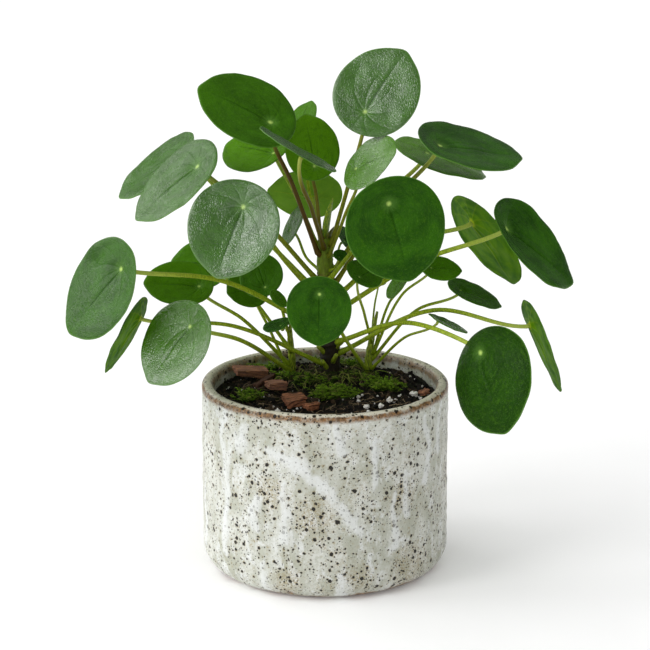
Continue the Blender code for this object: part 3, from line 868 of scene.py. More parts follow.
def glaze_finish(settings):
    """Grey-green stoneware glaze with white runs, iron specks, and rust where it thins at the edges."""
    finish = Finish("speckled_glaze", 0.35, 0.3)
    place = finish.place()
    height = finish.split(place)[2]
    run, way, stain = finish.split(finish.mark("mark"))
    upright = finish.place((1, 1, 0.5))
    tones = finish.ramp(finish.noise(upright, 0.07, 6.0, 0.62, 0.4), 0.36, 0.64)
    base = finish.mix(tones, settings.glaze_shade, settings.glaze)
    patches = finish.ramp(finish.noise(upright, 0.15, 5.0, 0.6, 0.8), 0.5, 0.66, 0.0, 0.8)
    base = finish.mix(patches, base, settings.glaze_white)
    curds = finish.ramp(finish.noise(place, 0.55, 4.0, 0.65), 0.42, 0.66, 0.0, 0.55)
    base = finish.mix(curds, base, settings.glaze_shade)
    ragged = finish.sway(upright, 0.35, 4.0, 0.6)
    drip = finish.ramp(finish.math("MULTIPLY_ADD", ragged, 1.9, run), 0.15, 1.0)
    squiggle = finish.math("ABSOLUTE", finish.sway(place, 0.42, 3.0, 0.55, 0.7))
    where = finish.ramp(finish.math("MULTIPLY_ADD", stain, 0.35, finish.noise(place, 0.05, 3.0)), 0.45, 0.7)
    lines = finish.times(finish.ramp(squiggle, 0.022, 0.004), where)
    base = finish.mix(finish.times(lines, 0.6), base, settings.halo)
    warp = finish.node("TexNoise", {"Vector": place, "Scale": 0.9, "Detail": 2.0}).outputs["Color"]
    warp = finish.node("VectorMath", {0: warp, 1: (1.1, 1.1, 1.1)}, operation="MULTIPLY").outputs[0]
    warped = finish.node("VectorMath", {0: place, 1: warp}, operation="ADD").outputs[0]
    crowd = finish.math("MULTIPLY_ADD", stain, 0.4, finish.noise(place, 0.035, 2.0))
    specks, halos = [], []
    for scale, least, widest in SPECKS:
        cell = finish.cells(warped, scale)
        chance = finish.split(cell["Color"])[0]
        chance = finish.math("ADD", finish.times(crowd, 0.8), finish.math("SUBTRACT", chance, 0.4))
        size = finish.times(finish.ramp(chance, least, 1.05), widest * scale)
        gap = finish.math("SUBTRACT", size, cell["Distance"])
        specks.append(finish.ramp(gap, -0.02 * scale, 0.06 * scale))
        halos.append(finish.ramp(gap, -0.9 * scale, 0.1 * scale))
    speck = finish.math("MAXIMUM", finish.math("MAXIMUM", specks[0], specks[1]), specks[2])
    bare = finish.math("SUBTRACT", 1.0, finish.times(drip, 0.6))
    speck = finish.times(speck, bare)
    grit = finish.ramp(finish.noise(place, 1.1, 4.0, 0.7), 0.4, 0.6)
    halo = finish.math("MAXIMUM", halos[0], finish.times(halos[1], 0.6))
    halo = finish.times(finish.times(halo, grit), finish.times(bare, 0.75))
    base = finish.mix(halo, base, settings.halo)
    stained = finish.times(finish.ramp(stain, 0.1, 1.0), finish.ramp(grit, 0.2, 0.9, 0.05, 0.42))
    base = finish.mix(stained, base, settings.halo)
    base = finish.mix(finish.times(drip, 0.72), base, settings.glaze_white)
    stray = finish.sway(place, 0.2, 5.0, 0.7)
    along = finish.math("MULTIPLY_ADD", stray, 4.5, way)
    lip = finish.times(finish.ramp(along, -4.5, -1.5), finish.ramp(along, 5.0, 2.0, 0.0, 0.65))
    base = finish.mix(lip, base, settings.lip_cream)
    outer = finish.times(finish.ramp(along, 1.9, 3.2), finish.ramp(along, 7.2, 4.6))
    inner = finish.times(finish.ramp(along, -8.0, -5.6), finish.ramp(along, -1.6, -3.2, 0.0, 0.8))
    broken = finish.ramp(finish.noise(place, 0.2, 6.0, 0.75), 0.34, 0.54, 0.45, 1.0)
    edge = finish.times(finish.math("MAXIMUM", outer, inner), broken)
    lower = finish.math("MULTIPLY_ADD", finish.sway(place, 0.06, 4.0), 10.0, height)
    lower = finish.math("MULTIPLY_ADD", stain, -3.5, lower)
    foot = finish.ramp(lower, 2.8, 0.6)
    rust = finish.mix(finish.ramp(finish.noise(place, 0.5, 4.0, 0.65), 0.4, 0.62),
                      settings.rust, settings.rust_dark)
    base = finish.mix(finish.times(edge, 0.97), base, rust)
    base = finish.mix(foot, base, rust)
    finish.colour(finish.mix(finish.times(speck, 0.97), base, settings.speck))
    finish.roughness(finish.ramp(finish.noise(place, 0.12, 3.0), 0.3, 0.7, 0.26, 0.46))
    finish.bump(finish.noise(place, 0.3, 4.0), 0.6, 0.5)
    finish.bump(drip, 0.4, 0.5)
    finish.bump(speck, -0.4, 0.7)
    finish.bump(finish.noise(place, 1.6, 3.0), 0.2, 0.5)
    return finish


# Mix, bark, moss and grains


def soil_finish(settings):
    finish = Finish("potting_mix", 0.9, 0.25)
    place = finish.place()
    cell = finish.cells(place, 0.5)
    tone, _, _ = finish.split(cell["Color"])
    base = finish.mix(finish.ramp(tone, 0.2, 0.9), settings.soil_dark, settings.soil_brown)
    fine = finish.ramp(finish.noise(place, 1.8, 5.0, 0.7), 0.4, 0.7, 0.0, 0.8)
    base = finish.mix(fine, base, settings.soil_dark)
    green = finish.times(finish.ramp(finish.noise(place, 0.07, 3.0), 0.5, 0.62),
                        finish.ramp(finish.noise(place, 1.2, 3.0), 0.45, 0.6, 0.0, 0.6))
    finish.colour(finish.mix(green, base, settings.moss_dark_and_painted_shade))
    finish.bump(finish.noise(place, 1.5, 6.0, 0.7), 1.2, 0.9)
    finish.bump(cell["Distance"], -0.8, 0.6)
    return finish


def crumb_finish(settings):
    finish = Finish("mix_crumbs", 0.88, 0.25)
    pick, _, _ = finish.split(finish.mark("tone"))
    place = finish.place()
    base = finish.mix(finish.ramp(pick, 0.2, 0.95), settings.soil_dark, settings.crumb_brown)
    fine = finish.ramp(finish.noise(finish.place((1, 0.4, 1)), 2.2, 5.0, 0.7), 0.35, 0.7, 0.0, 0.7)
    finish.colour(finish.mix(fine, base, settings.soil_dark))
    finish.bump(finish.noise(place, 3.0, 4.0, 0.7), 0.4, 0.8)
    return finish


def fibre_finish(settings):
    finish = Finish("fine_roots", 0.75, 0.3)
    pick, _, _ = finish.split(finish.mark("tone"))
    place = finish.place()
    base = finish.mix(pick, settings.fibre_dark, settings.fibre)
    finish.colour(finish.mix(finish.ramp(finish.noise(place, 0.9, 4.0), 0.4, 0.7, 0.0, 0.6), base,
                             settings.fibre_dark))
    finish.bump(finish.noise(place, 3.0, 3.0), 0.1, 0.6)
    return finish


def bark_finish(settings):
    finish = Finish("bark", 0.82, 0.3)
    grain = finish.mark("mark")
    layers = finish.noise(grain, 1.0, 6.0, 0.7, 0.4)
    pick, wet, _ = finish.split(finish.mark("tone"))
    base = finish.mix(finish.ramp(layers, 0.35, 0.62), settings.bark_dark, settings.bark)
    base = finish.mix(finish.times(pick, 0.6), base, settings.bark_pale)
    pits = finish.ramp(finish.noise(finish.place(), 1.1, 5.0, 0.7), 0.5, 0.7, 0.0, 0.5)
    base = finish.mix(pits, base, settings.bark_dark)
    finish.colour(finish.mix(finish.times(wet, 0.85), base, settings.bark_dark))
    finish.bump(layers, 0.9, 0.9)
    finish.bump(finish.noise(finish.place(), 2.0, 4.0), 0.3, 0.7)
    return finish


def moss_finish(settings):
    finish = Finish("moss", 0.8, 0.3)
    share, _, _ = finish.split(finish.mark("mark"))
    pick, _, dry = finish.split(finish.mark("tone"))
    place = finish.place()
    # Painted shade and light: each frond darkens towards its foot and brightens towards its tip, together
    # with the tips' own lighter green.
    base = finish.mix(finish.ramp(share, 0.0, 0.8, 0.25, 1.0), settings.moss_dark_and_painted_shade, settings.moss_tip_and_painted_light)
    worn = finish.ramp(finish.noise(place, 0.25, 3.0), 0.52, 0.7, 0.0, 0.7)
    worn = finish.math("MAXIMUM", worn, finish.times(dry, 0.75))
    base = finish.mix(worn, base, settings.moss_worn)
    # Painted shade: the tone's first value darkens fronds low in a tuft; on dry strands it is a random tone.
    finish.colour(finish.mix(finish.ramp(pick, 0.0, 1.0, 0.0, 0.92), base, settings.moss_dark_and_painted_shade))
    finish.bump(finish.noise(place, 4.0, 2.0), 0.1, 0.6)
    return finish


def grain_finish(settings):
    finish = Finish("perlite", 0.85, 0.3)
    place = finish.place()
    pores = finish.cells(place, 1.6)["Distance"]
    base = finish.mix(finish.ramp(finish.noise(place, 0.8, 4.0), 0.4, 0.7, 0.0, 0.7),
                      settings.grain, settings.grain_shade)
    finish.colour(finish.mix(finish.ramp(pores, 0.35, 0.1, 0.0, 0.5), base, settings.grain_shade))
    finish.bump(pores, 0.5, 0.9)
    return finish


def block_faces(grid, counts):
    """Quads over the six sides of a block of points, which grid finds by their three counts."""
    faces = []
    for axis in range(3):
        first, second = (axis + 1) % 3, (axis + 2) % 3
        for a in range(counts[first]):
            for b in range(counts[second]):
                square = ((a, b), (a + 1, b), (a + 1, b + 1), (a, b + 1))
                for level, order in ((0, square[:1] + square[:0:-1]), (counts[axis], square)):
                    corners = [{axis: level, first: u, second: v} for u, v in order]
                    faces.append([grid[c[0], c[1], c[2]] for c in corners])
    return faces


def make_chip_shell(lump, number, rng):
    """A torn plate of bark: thin, angular and layered, lying at a tilt."""
    shell = Shell()
    across, deep, tall = 20, 12, 5
    spin = Matrix.Rotation(radians(lump.spin), 3, "Z")
    tilt = Matrix.Rotation(radians(rng.uniform(-9, 9)), 3, "X")
    tilt = tilt @ Matrix.Rotation(radians(rng.uniform(-6, 10)), 3, "Y")
    taper, skew, narrow = rng.uniform(-0.45, 0.45), rng.uniform(-0.5, 0.5), rng.uniform(0.1, 0.5)
    seed = Vector((number * 13.0, 0, 0))
    grid, points, marks = {}, [], []
    for k in range(tall + 1):
        for j in range(deep + 1):
            for i in range(across + 1):
                if 0 < i < across and 0 < j < deep and 0 < k < tall:
                    continue
                u, v, w = i / across - 0.5, j / deep - 0.5, k / tall - 0.5
                layer = 0.06 * noise.noise(Vector((k * 3.1, 0, 0)) + seed)
                x = (u * (1 - taper * v) + skew * v * 0.4 + layer) * lump.size[0]
                y = v * (1 - narrow * (u + 0.5)) * lump.size[1]
                torn = 1.5 * noise.noise(Vector((0, y * 0.6, k * 0.8)) + seed) * abs(2 * u) ** 4
                split = 0.9 * noise.noise(Vector((x * 0.35, 0, k * 0.9)) + seed) * abs(2 * v) ** 4
                ridge = 0.35 * noise.noise(Vector((x * 0.15, y * 1.4, k)) + seed)
                height = w * lump.size[2] * (0.8 + 0.35 * u)
                grid[i, j, k] = len(points)
                shaped = Vector((x + torn * np.sign(u), y + split * np.sign(v), height + ridge))
                points.append(spin @ tilt @ shaped)
                marks.append((x * 0.12, y * 0.9, height * 1.6 + number * 7))
    floor = soil_height(*lump.place) + 0.2
    shift = Vector((*lump.place, floor - min(p.z for p in points)))
    faces = block_faces(grid, (across, deep, tall))
    shell.add([p + shift for p in points], faces, 0, marks, (rng.uniform(), number == WET_CHIP, 0))
    return shell


def add_frond(shell, root, lean, length, radius, deep):
    """One moss leaf: a curved, pointed blade, with painted shade that darkens it the deeper it sits."""
    up = Vector((0, 0, 1))
    path = [root]
    for i in range(1, 4):
        share = i / 3
        aim = (lean * (0.3 + 0.8 * share) + up * (0.9 - 0.6 * share)).normalized()
        path.append(root + aim * length * share)
    points, faces, marks = tube(path, (radius * 0.6, radius, radius * 0.7, radius * 0.1), 4, 0.4)
    shell.add(points, faces, 0, marks, (deep, 0, 0))


def add_sprig(shell, root, lean, height, rng):
    """An arching moss stalk with narrow leaves up its sides."""
    up = Vector((0, 0, 1))
    steps = max(3, int(height / 0.75))
    for step in range(steps):
        share = step / steps
        place = root + up * height * (share - 0.35 * share**2) + lean * height * 0.75 * share**1.5
        for _ in range(2):
            aim = rng.uniform(0, 2 * pi)
            out = (lean * 0.8 + Vector((cos(aim), sin(aim), rng.uniform(-0.2, 0.5)))).normalized()
            length = rng.uniform(1.6, 3.4) * (1.2 - 0.5 * share)
            # Painted shade: leaves lower on the stalk get a darker tone.
            deep = (1.1 - share) * rng.uniform(0.5, 1.7) - 0.2 * rng.uniform()
            add_frond(shell, place, out, length, rng.uniform(0.22, 0.40), deep)


def grow_moss(shell, lump, number, density, rng):
    """A ragged tuft: tall and short sprigs with gaps between them."""
    wide, deep, tall = lump.size
    spin = radians(lump.spin)
    for _ in range(int(density * wide * deep)):
        reach, turn = rng.uniform() ** 0.6, rng.uniform(0, 2 * pi)
        u, v = reach * cos(turn), reach * sin(turn)
        x = lump.place[0] + (u * wide * cos(spin) - v * deep * sin(spin)) / 2
        y = lump.place[1] + (u * wide * sin(spin) + v * deep * cos(spin)) / 2
        clump = 0.5 + noise.noise(Vector((x * 0.3, y * 0.3, number)))
        if hypot(x, y) > SOIL_RADIUS - 4 or clump < 0.3 + 0.25 * reach:
            continue
        root = Vector((x, y, soil_height(x, y) - 0.5))
        height = tall * (0.35 + 1.6 * (clump - 0.2)) * rng.uniform(0.4, 1.15) * (1.15 - 0.5 * reach)
        rng.uniform(size=2)  # spare draws, unused, which shift the random draws that follow
        lean = Vector((u * 0.6 + rng.normal() * 0.6, v * 0.6 + rng.normal() * 0.6, 0))
        add_sprig(shell, root, lean, height, rng)


def add_wisp(shell, x, y, rng):
    """A long dry moss strand that arches over the mix."""
    heading, length, rise = rng.uniform(0, 2 * pi), rng.uniform(5, 13), rng.uniform(0.8, 3.6)
    path = []
    for step in range(9):
        share = step / 8
        path.append((x, y, soil_height(x, y) + 0.3 + rise * sin(pi * share)))
        heading += rng.normal() * 0.22
        x, y = x + cos(heading) * length / 8, y + sin(heading) * length / 8
    radius = float(rng.uniform(0.18, 0.38))
    points, faces, marks = tube(path, [radius * (1.1 - 0.7 * i / 8) for i in range(9)], 5)
    shell.add(points, faces, 0, marks, (rng.uniform(0, 1.4), 0, rng.uniform(0.4, 1.2)))


def add_twig(shell, start, heading, length, radius):
    """A dark twig that lies on the mix, not quite straight."""
    path, radii = [], []
    for step in range(12):
        x = start[0] + cos(radians(heading)) * length * step / 11
        y = start[1] + sin(radians(heading)) * length * step / 11
        sway = noise.noise(Vector((x * 0.3, y * 0.3, 5)))
        path.append((x + sway, y - sway, soil_height(x, y) + radius + 0.8 + 0.6 * sway))
        radii.append(radius * (1.0 + 0.3 * sway) * (0.5 if step in (0, 11) else 1.0))
    points, faces, _ = tube(path, radii, 9, 0.8)
    shell.add(points, faces, tone=(0.02, 0, 0))


def scatter(rng, count, clear, inner=0.0):
    """Random places on the mix, away from the wall."""
    reach = np.sqrt(rng.uniform(inner**2, 1, count)) * (SOIL_RADIUS - clear)
    turn = rng.uniform(0, 2 * pi, count)
    return np.stack([reach * np.cos(turn), reach * np.sin(turn)], 1)


# Settings


def colour_property(name, description, default):
    return FloatVectorProperty(name=name, description=description, default=default, subtype="COLOR",
                               size=3, min=0, max=1)


class PILEA_PG_leaves(bpy.types.PropertyGroup):
    blade_thickness: FloatProperty(name="Blade thickness", description="Thickness in the middle of a blade",
                                   default=0.8 * MM, unit="LENGTH")
    blade_sides: IntProperty(name="Blade sides", description="Points around a blade", default=88)
    blade_rings: IntProperty(name="Blade rings", description="Rings from the dot to the rim", default=22)
    # Painted shade: the green that darkens blades which sit in the plant's shade but catch the lamps.
    painted_shade_green: colour_property("Deep green", "Blades in the plant's shade", (0.006, 0.022, 0.001))
    dark_green: colour_property("Dark green", "Main colour of a blade", (0.012, 0.056, 0.002))
    mid_green: colour_property("Mid green", "Lighter patches of a blade", (0.027, 0.108, 0.003))
    # Young green, also painted light on blades that sit in shade.
    lit_green: colour_property("Young green", "Young blades", (0.085, 0.235, 0.003))
    under_green: colour_property("Underside", "Matte underside of a blade", (0.100, 0.235, 0.003))
    # Painted light: the glow of light passing through thin blades, not rendered as translucency.
    under_lit: colour_property("Young underside", "Thin underside, lit through", (0.22, 0.44, 0.04))
    vein_green: colour_property("Pale green", "Rim, speckles and ring around the dot", (0.10, 0.23, 0.035))
    dot_green: colour_property("Dot", "Dot where the petiole meets the blade", (0.42, 0.60, 0.14))
    petiole_green: colour_property("Petiole", "Middle of a petiole", (0.38, 0.48, 0.025))
    petiole_shade: colour_property("Petiole shade", "Darker streaks of a petiole", (0.17, 0.26, 0.008))
    petiole_pale: colour_property("Petiole end", "Petiole near the blade", (0.46, 0.54, 0.12))
    petiole_brown: colour_property("Brown petiole", "Upper petioles", (0.095, 0.055, 0.008))
    stem_green: colour_property("Stem", "Young skin of the main stem", (0.12, 0.17, 0.006))
    stem_brown: colour_property("Brown skin", "Drying skin below the young part", (0.14, 0.115, 0.02))
    cork: colour_property("Cork", "Old skin of the main stem", (0.026, 0.017, 0.007))
    cork_dark: colour_property("Dark cork", "Fissures low on the stem", (0.010, 0.007, 0.004))


class PILEA_PG_pot(bpy.types.PropertyGroup):
    sides: IntProperty(name="Sides", description="Points around the pot", default=300)
    glaze: colour_property("Glaze", "Main glaze colour", (0.66, 0.67, 0.62))
    glaze_shade: colour_property("Thin glaze", "Greener glaze where it is thin", (0.43, 0.44, 0.36))
    glaze_white: colour_property("White runs", "Thick runs of white glaze", (0.74, 0.76, 0.75))
    lip_cream: colour_property("Lip", "Thin creamy glaze on the lip", (0.62, 0.57, 0.44))
    speck: colour_property("Specks", "Iron specks", (0.006, 0.0045, 0.003))
    halo: colour_property("Halos", "Stain around a speck", (0.30, 0.22, 0.08))
    rust: colour_property("Rust", "Bare clay at the lip and foot", (0.27, 0.135, 0.042))
    rust_dark: colour_property("Dark rust", "Darker clay at the lip and foot", (0.10, 0.048, 0.016))


class PILEA_PG_mix(bpy.types.PropertyGroup):
    crumbs: IntProperty(name="Crumbs", description="Loose crumbs on the mix", default=2300)
    fibres: IntProperty(name="Fibres", description="Fine roots and fibres on the mix", default=260)
    grains: IntProperty(name="Grains", description="Small perlite grains", default=120)
    moss_density: FloatProperty(name="Moss density", description="Sprigs per square millimetre of a tuft",
                                default=0.9)
    soil_dark: colour_property("Dark mix", "Wet peat", (0.006, 0.005, 0.004))
    soil_brown: colour_property("Brown mix", "Drier peat", (0.022, 0.015, 0.009))
    crumb_brown: colour_property("Crumbs", "Lightest crumbs", (0.075, 0.048, 0.026))
    fibre: colour_property("Fibres", "Pale roots and fibres", (0.36, 0.27, 0.16))
    fibre_dark: colour_property("Dark fibres", "Dark roots", (0.07, 0.045, 0.025))
    bark: colour_property("Bark", "Bark's worn face", (0.38, 0.145, 0.065))
    bark_dark: colour_property("Dark bark", "Bark's fissures", (0.035, 0.014, 0.008))
    bark_pale: colour_property("Pale bark", "Dusty bark", (0.52, 0.29, 0.21))
    # Deep moss colour, also painted shade low in the tufts.
    moss_dark_and_painted_shade: colour_property("Deep moss", "Moss low in a tuft", (0.007, 0.020, 0.001))
    # The moss tips' own lighter green, with painted light on the tips.
    moss_tip_and_painted_light: colour_property("Moss tips", "Bright tips", (0.22, 0.40, 0.015))
    moss_worn: colour_property("Dry moss", "Browned moss", (0.36, 0.32, 0.11))
    grain: colour_property("Perlite", "White grains", (0.82, 0.80, 0.76))
    grain_shade: colour_property("Stained perlite", "Stained grains", (0.50, 0.46, 0.38))


class PILEA_PG_stage(bpy.types.PropertyGroup):
    floor: colour_property("Floor", "Pale studio floor", (0.93, 0.93, 0.93))
    room: FloatProperty(name="Room light", description="Strength of the even light", default=0.22)
    window: FloatProperty(name="Window", description="Strength of the large light on the left", default=1.06)
    ceiling: FloatProperty(name="Ceiling", description="Strength of the broad light from above", default=1.7)
    lens: FloatProperty(name="Lens", description="Focal length", default=127.4, unit="CAMERA")


# Lamps as wide as panes: name, direction of the light, width in degrees, and a setting with a share of it.
LIGHTS = (
    ("window_front", (0.77, 0.48, -0.42), 26, "window", 1.0),
    ("window_left", (0.91, -0.03, -0.42), 30, "window", 0.85),
    ("window_back", (0.70, -0.58, -0.42), 34, "window", 0.6),
    ("ceiling", (0.05, 0.25, -1.0), 120, "ceiling", 1.0),
)
# The stage, in metres. The floor lies just under the foot.
FLOOR_SIZE = 40
FLOOR_GAP = 0.0002
FLOOR_GLOW = 0.12
EYE_PLACE = (0, -1.248, 0.4825)
EYE_TURN = (radians(74.64), 0, 0)
SENSOR_WIDTH = 36
FAR_CLIP = 20


# Operators


class PILEA_OT_pot(bpy.types.Operator):
    """Build the thrown pot with its speckled glaze"""

    bl_idname = "pilea.pot"
    bl_label = "Pot"

    def execute(self, context):
        settings = context.scene.pilea_pot
        piece = make_pot_shell(settings.sides).build("thrown_pot", [glaze_finish(settings)])
        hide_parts("pot")
        return {"FINISHED"}


class PILEA_OT_soil(bpy.types.Operator):
    """Build the potting mix that fills the pot"""

    bl_idname = "pilea.soil"
    bl_label = "Potting mix"

    def execute(self, context):
        settings = context.scene.pilea_mix
        shell = Shell()
        sides, rings = 200, 74
        points = [(0, 0, lumpy_height(0, 0))]
        for ring in range(1, rings + 1):
            radius = SOIL_RADIUS * ring / rings
            for k in range(sides):
                turn = 2 * pi * k / sides
                x, y = radius * cos(turn), radius * sin(turn)
                points.append((x, y, lumpy_height(x, y)))
        corner = ((SOIL_RADIUS, POT_FLOOR + SOIL_ROUND), (SOIL_RADIUS - SOIL_ROUND, SOIL_LOW[2]))
        for radius, height in corner:
            points += [(radius * cos(2 * pi * k / sides), radius * sin(2 * pi * k / sides), height)
                       for k in range(sides)]
        faces = fan(0, 1, sides) + turned_over(ring_faces(rings + 2, sides, 1))
        end = 1 + (rings + 1) * sides
        faces.append([end + k for k in range(sides)][::-1])
        shell.add(points, faces)
        piece = shell.build("potting_mix", [soil_finish(settings)])
        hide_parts("soil")
        return {"FINISHED"}


class PILEA_OT_crumbs(bpy.types.Operator):
    """Scatter loose crumbs and bark fines over the mix"""

    bl_idname = "pilea.crumbs"
    bl_label = "Crumbs"

    def execute(self, context):
        settings = context.scene.pilea_mix
        rng = np.random.default_rng(11)
        ball, faces = unit_ball(2)
        shell = Shell()
        for x, y in scatter(rng, settings.crumbs, 1.6):
            size = rng.uniform(0.6, 1.4) + 2.2 * rng.uniform() ** 6
            shape = size * rng.uniform(0.55, 1.35, 3)
            points = rough_ball(ball, rng, shape, 0.9, 1.6)
            centre = np.array((x, y, lumpy_height(x, y) + size * 0.15))
            shell.add(points + centre, faces, tone=(rng.uniform() ** 2.2, 0, 0))
        piece = shell.build("mix_crumbs", [crumb_finish(settings)], smooth=False)
        return {"FINISHED"}


class PILEA_OT_fibres(bpy.types.Operator):
    """Lay fine roots and fibres on the mix and around the stem's base"""

    bl_idname = "pilea.fibres"
    bl_label = "Fine roots"

    def execute(self, context):
        settings = context.scene.pilea_mix
        rng = np.random.default_rng(23)
        shell = Shell()
        places = list(scatter(rng, settings.fibres, 9.0))
        places += list(rng.normal(size=(settings.fibres // 2, 2)) * ROOT_SPREAD + ROOT_MIDDLE)
        for x, y in places:
            heading, length = rng.uniform(0, 2 * pi), rng.uniform(3, 11)
            curl = rng.normal() * 0.16
            path = []
            for step in range(9):
                if hypot(x, y) > SOIL_RADIUS - 1.5:
                    break
                lift = 0.7 + 0.9 * sin(pi * step / 8) * rng.uniform(0.2, 1.0)
                path.append((x, y, lumpy_height(x, y) + lift))
                heading += curl + rng.normal() * 0.18
                x, y = x + cos(heading) * length / 8, y + sin(heading) * length / 8
            if len(path) > 3:
                radius = float(rng.uniform(0.10, 0.26))
                radii = [radius * (1 - 0.5 * i / (len(path) - 1)) for i in range(len(path))]
                points, faces, _ = tube(path, radii, 6)
                shell.add(points, faces, tone=(rng.uniform() ** 1.5, 0, 0))
        for twig in TWIGS:
            add_twig(shell, *twig)
        piece = shell.build("fine_roots", [fibre_finish(settings)])
        return {"FINISHED"}


class PILEA_OT_perlite(bpy.types.Operator):
    """Set the large perlite grains down and scatter the small ones"""

    bl_idname = "pilea.perlite"
    bl_label = "Perlite"

    def execute(self, context):
        settings = context.scene.pilea_mix
        rng = np.random.default_rng(31)
        finish = grain_finish(settings)
        ball, faces = unit_ball(3)
        for number, lump in enumerate(PERLITES, 1):
            shell = Shell()
            points = rough_ball(ball, rng, lump.size, 0.7, 1.7)
            low = points[:, 2].min()
            floor = soil_height(*lump.place) + 0.3
            shell.add(points + (*lump.place, floor - low), faces)
            piece = shell.build(f"perlite_grain_{number}", [finish])
            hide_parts(f"perlite_{number}")
        small, faces = unit_ball(2)
        shell = Shell()
        for x, y in scatter(rng, settings.grains, 3.0, 0.25):
            size = rng.uniform(0.6, 1.5) + (0.9 * rng.uniform() if x > 15 and y < 5 else 0)
            points = rough_ball(small, rng, size * rng.uniform(0.7, 1.2, 3), 0.7, 1.7)
            shell.add(points + (x, y, lumpy_height(x, y) + size * 0.45), faces)
        piece = shell.build("perlite_fines", [finish])
        return {"FINISHED"}


class PILEA_OT_bark(bpy.types.Operator):
    """Lay the broken bark on the mix"""

    bl_idname = "pilea.bark"
    bl_label = "Bark chips"

    def execute(self, context):
        finish = bark_finish(context.scene.pilea_mix)
        rng = np.random.default_rng(5)
        for number, lump in enumerate(CHIPS, 1):
            piece = make_chip_shell(lump, number, rng).build(f"bark_plate_{number}", [finish])
            piece.data.set_sharp_from_angle(angle=radians(38))
            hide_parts(f"bark_chip_{number}")
        return {"FINISHED"}


class PILEA_OT_moss(bpy.types.Operator):
    """Grow the moss tufts"""

    bl_idname = "pilea.moss"
    bl_label = "Moss"

    def execute(self, context):
        settings = context.scene.pilea_mix
        finish = moss_finish(settings)
        rng = np.random.default_rng(47)
        for number, lump in enumerate(MOSSES, 1):
            shell = Shell()
            grow_moss(shell, lump, number, settings.moss_density, rng)
            piece = shell.build(f"moss_tuft_{number}", [finish])
            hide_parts(f"moss_{number}")
        shell = Shell()
        for number, (place, (wide, deep), spin) in enumerate(LOOSE_MOSSES, 10):
            lump = Lump(place, (wide, deep, LOOSE_HEIGHT), spin)
            grow_moss(shell, lump, number, settings.moss_density * LOOSE_SHARE, rng)
        for x, y in rng.normal(size=(WISPS, 2)) * WISP_SPREAD + WISP_MIDDLE:
            add_wisp(shell, x, y, rng)
        piece = shell.build("loose_moss", [finish])
        return {"FINISHED"}


class PILEA_OT_stems(bpy.types.Operator):
    """Build the main stem, its crown bud and the two offset shoots"""

    bl_idname = "pilea.stems"
    bl_label = "Stems"

    def execute(self, context):
        settings = context.scene.pilea_leaves
        shell = Shell()
        shell.add(*scarred_stem(STEMS["main"], steps=150, sides=48, scars=11, depth=0.16))
        for height, turn, length in STUBS:
            axis, radius = stem_at(STEMS["main"], height)
            aim = Vector((cos(radians(turn)), sin(radians(turn)), 0))
            start = axis + aim * (radius - 1.0)
            rise = aim + Vector((0, 0, 0.9))
            path = [start + rise * length * share for share in (0, 0.25, 0.5, 0.75, 0.95, 1)]
            points, faces, _ = tube(path, STUB_RADII, 12)
            shell.add(points, faces, 1)
        piece = shell.build("stem", [stem_finish(settings), shoot_finish(settings)])
        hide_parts("main_stem")
        finish = shoot_finish(settings)
        for side in ("left", "right"):
            stem = STEMS[side]
            shell = Shell()
            shell.add(*scarred_stem(stem, steps=60, sides=20, scars=4, depth=0.14))
            piece = shell.build(f"{side}_offset", [finish])
            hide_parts(stem.name)
        top = Vector(STEMS["main"].points[-1])
        shell = Shell()
        add_scale(shell, top - Vector((0, 0, 4)), (0.3, -0.6, 0), 29, 6.0, 0)
        add_scale(shell, top + Vector((-1.5, -1, -3)), (-1, -0.4, 0), 13, 4.2, 0.5)
        add_scale(shell, top + Vector((1.6, -0.8, -4)), (1, -0.5, 0), 11, 4.0, 0.9)
        add_scale(shell, top + Vector((0, 1.8, -3)), (0.2, 1, 0), 15, 4.0, 0.3)
        piece = shell.build("crown", [young_finish(settings)])
        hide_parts("crown_bud")
        return {"FINISHED"}


class PILEA_OT_leaves(bpy.types.Operator):
    """Grow every leaf, each a blade with its petiole"""

    bl_idname = "pilea.leaves"
    bl_label = "Leaves"

    def execute(self, context):
        settings = context.scene.pilea_leaves
        tops = {shine: leaf_top_finish(settings, shine) for shine in SHINES}
        under, petiole = leaf_under_finish(settings), petiole_finish(settings)
        for number, leaf in enumerate(LEAVES, 1):
            shell = Shell()
            add_blade(shell, leaf, number, settings)
            add_petiole(shell, leaf, number)
            top = tops[SHINY_LEAVES.get(number, "matte")]
            piece = shell.build(f"grown_leaf_{number:02d}", [top, under, petiole])
            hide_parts(f"leaf_{number:02d}")
        return {"FINISHED"}


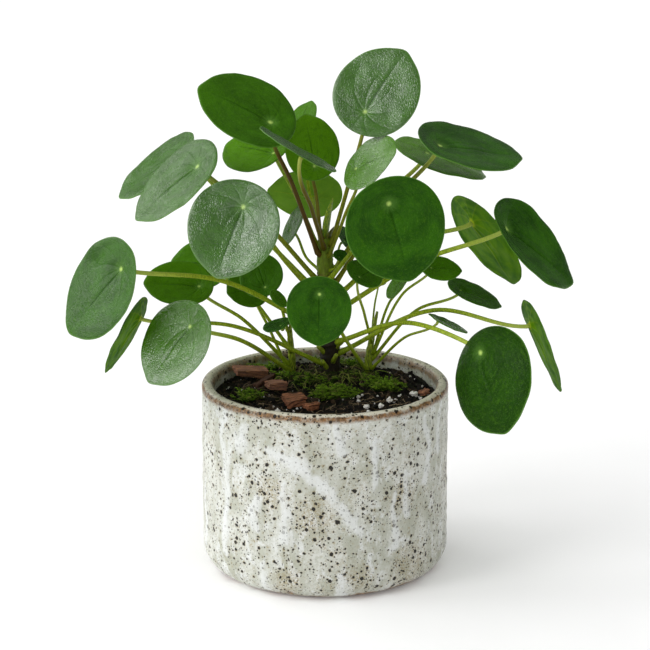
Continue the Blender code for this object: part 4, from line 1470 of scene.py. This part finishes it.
class PILEA_OT_stage(bpy.types.Operator):
    """Set up the floor, the lights and the camera"""

    bl_idname = "pilea.stage"
    bl_label = "Stage"

    def execute(self, context):
        settings = context.scene.pilea_stage
        scene = context.scene
        scene.view_settings.view_transform = "Standard"
        bpy.ops.mesh.primitive_plane_add(size=FLOOR_SIZE, location=(0, 0, -FLOOR_GAP))
        floor = context.object
        floor.name = "studio_floor"
        finish = Finish("studio_floor", 0.7, 0.2)
        tone = finish.ramp(finish.noise(finish.place(), 0.01, 2.0), 0.3, 0.7, 0.97, 1.0)
        shade = finish.node("CombineXYZ", {"X": tone, "Y": tone, "Z": tone}).outputs[0]
        finish.colour(finish.mix(1.0, settings.floor, shade, "MULTIPLY"))
        finish.feed(finish.shader.inputs["Emission Color"], (1, 1, 1, 1))
        finish.feed(finish.shader.inputs["Emission Strength"], FLOOR_GLOW)
        floor.data.materials.append(finish.material)
        world = bpy.data.worlds.new("studio")
        world.use_nodes = True
        world.node_tree.nodes["Background"].inputs["Color"].default_value = (1, 1, 1, 1)
        world.node_tree.nodes["Background"].inputs["Strength"].default_value = settings.room
        scene.world = world
        for name, aim, angle, group, share in LIGHTS:
            light = bpy.data.lights.new(name, "SUN")
            light.energy, light.angle = getattr(settings, group) * share, radians(angle)
            lamp = bpy.data.objects.new(name, light)
            lamp.rotation_euler = Vector(aim).to_track_quat("-Z", "Y").to_euler()
            lamp.visible_glossy = group == "window"
            scene.collection.objects.link(lamp)
        camera = bpy.data.cameras.new("camera")
        camera.lens = settings.lens
        camera.sensor_width, camera.clip_end = SENSOR_WIDTH, FAR_CLIP
        eye = bpy.data.objects.new("camera", camera)
        eye.location, eye.rotation_euler = EYE_PLACE, EYE_TURN
        scene.collection.objects.link(eye)
        scene.camera = eye
        return {"FINISHED"}


class PILEA_PT_panel(bpy.types.Panel):
    """The pieces of the plant, in the order they are built"""

    bl_idname = "PILEA_PT_panel"
    bl_label = "Potted Pilea"
    bl_space_type = "VIEW_3D"
    bl_region_type = "UI"
    bl_category = "Pilea"

    def draw(self, context):
        for operator in OPERATORS:
            self.layout.operator(operator.bl_idname)
        for group in SETTINGS:
            box = self.layout.box()
            box.label(text=group.capitalize())
            settings = getattr(context.scene, f"pilea_{group}")
            for name in settings.bl_rna.properties.keys():
                if name not in ("rna_type", "name"):
                    box.prop(settings, name)


SETTINGS = {"leaves": PILEA_PG_leaves, "pot": PILEA_PG_pot, "mix": PILEA_PG_mix, "stage": PILEA_PG_stage}
OPERATORS = (PILEA_OT_pot, PILEA_OT_soil, PILEA_OT_crumbs, PILEA_OT_fibres, PILEA_OT_perlite, PILEA_OT_bark,
             PILEA_OT_moss, PILEA_OT_stems, PILEA_OT_leaves, PILEA_OT_stage)


def register():
    for cls in (*SETTINGS.values(), *OPERATORS, PILEA_PT_panel):
        bpy.utils.register_class(cls)
    for name, group in SETTINGS.items():
        setattr(bpy.types.Scene, f"pilea_{name}", PointerProperty(type=group))


def unregister():
    for name in SETTINGS:
        delattr(bpy.types.Scene, f"pilea_{name}")
    for cls in reversed((*SETTINGS.values(), *OPERATORS, PILEA_PT_panel)):
        bpy.utils.unregister_class(cls)


def main():
    register()
    for operator in OPERATORS:
        group, name = operator.bl_idname.split(".")
        getattr(getattr(bpy.ops, group), name)()


if __name__ == "__main__":
    main()
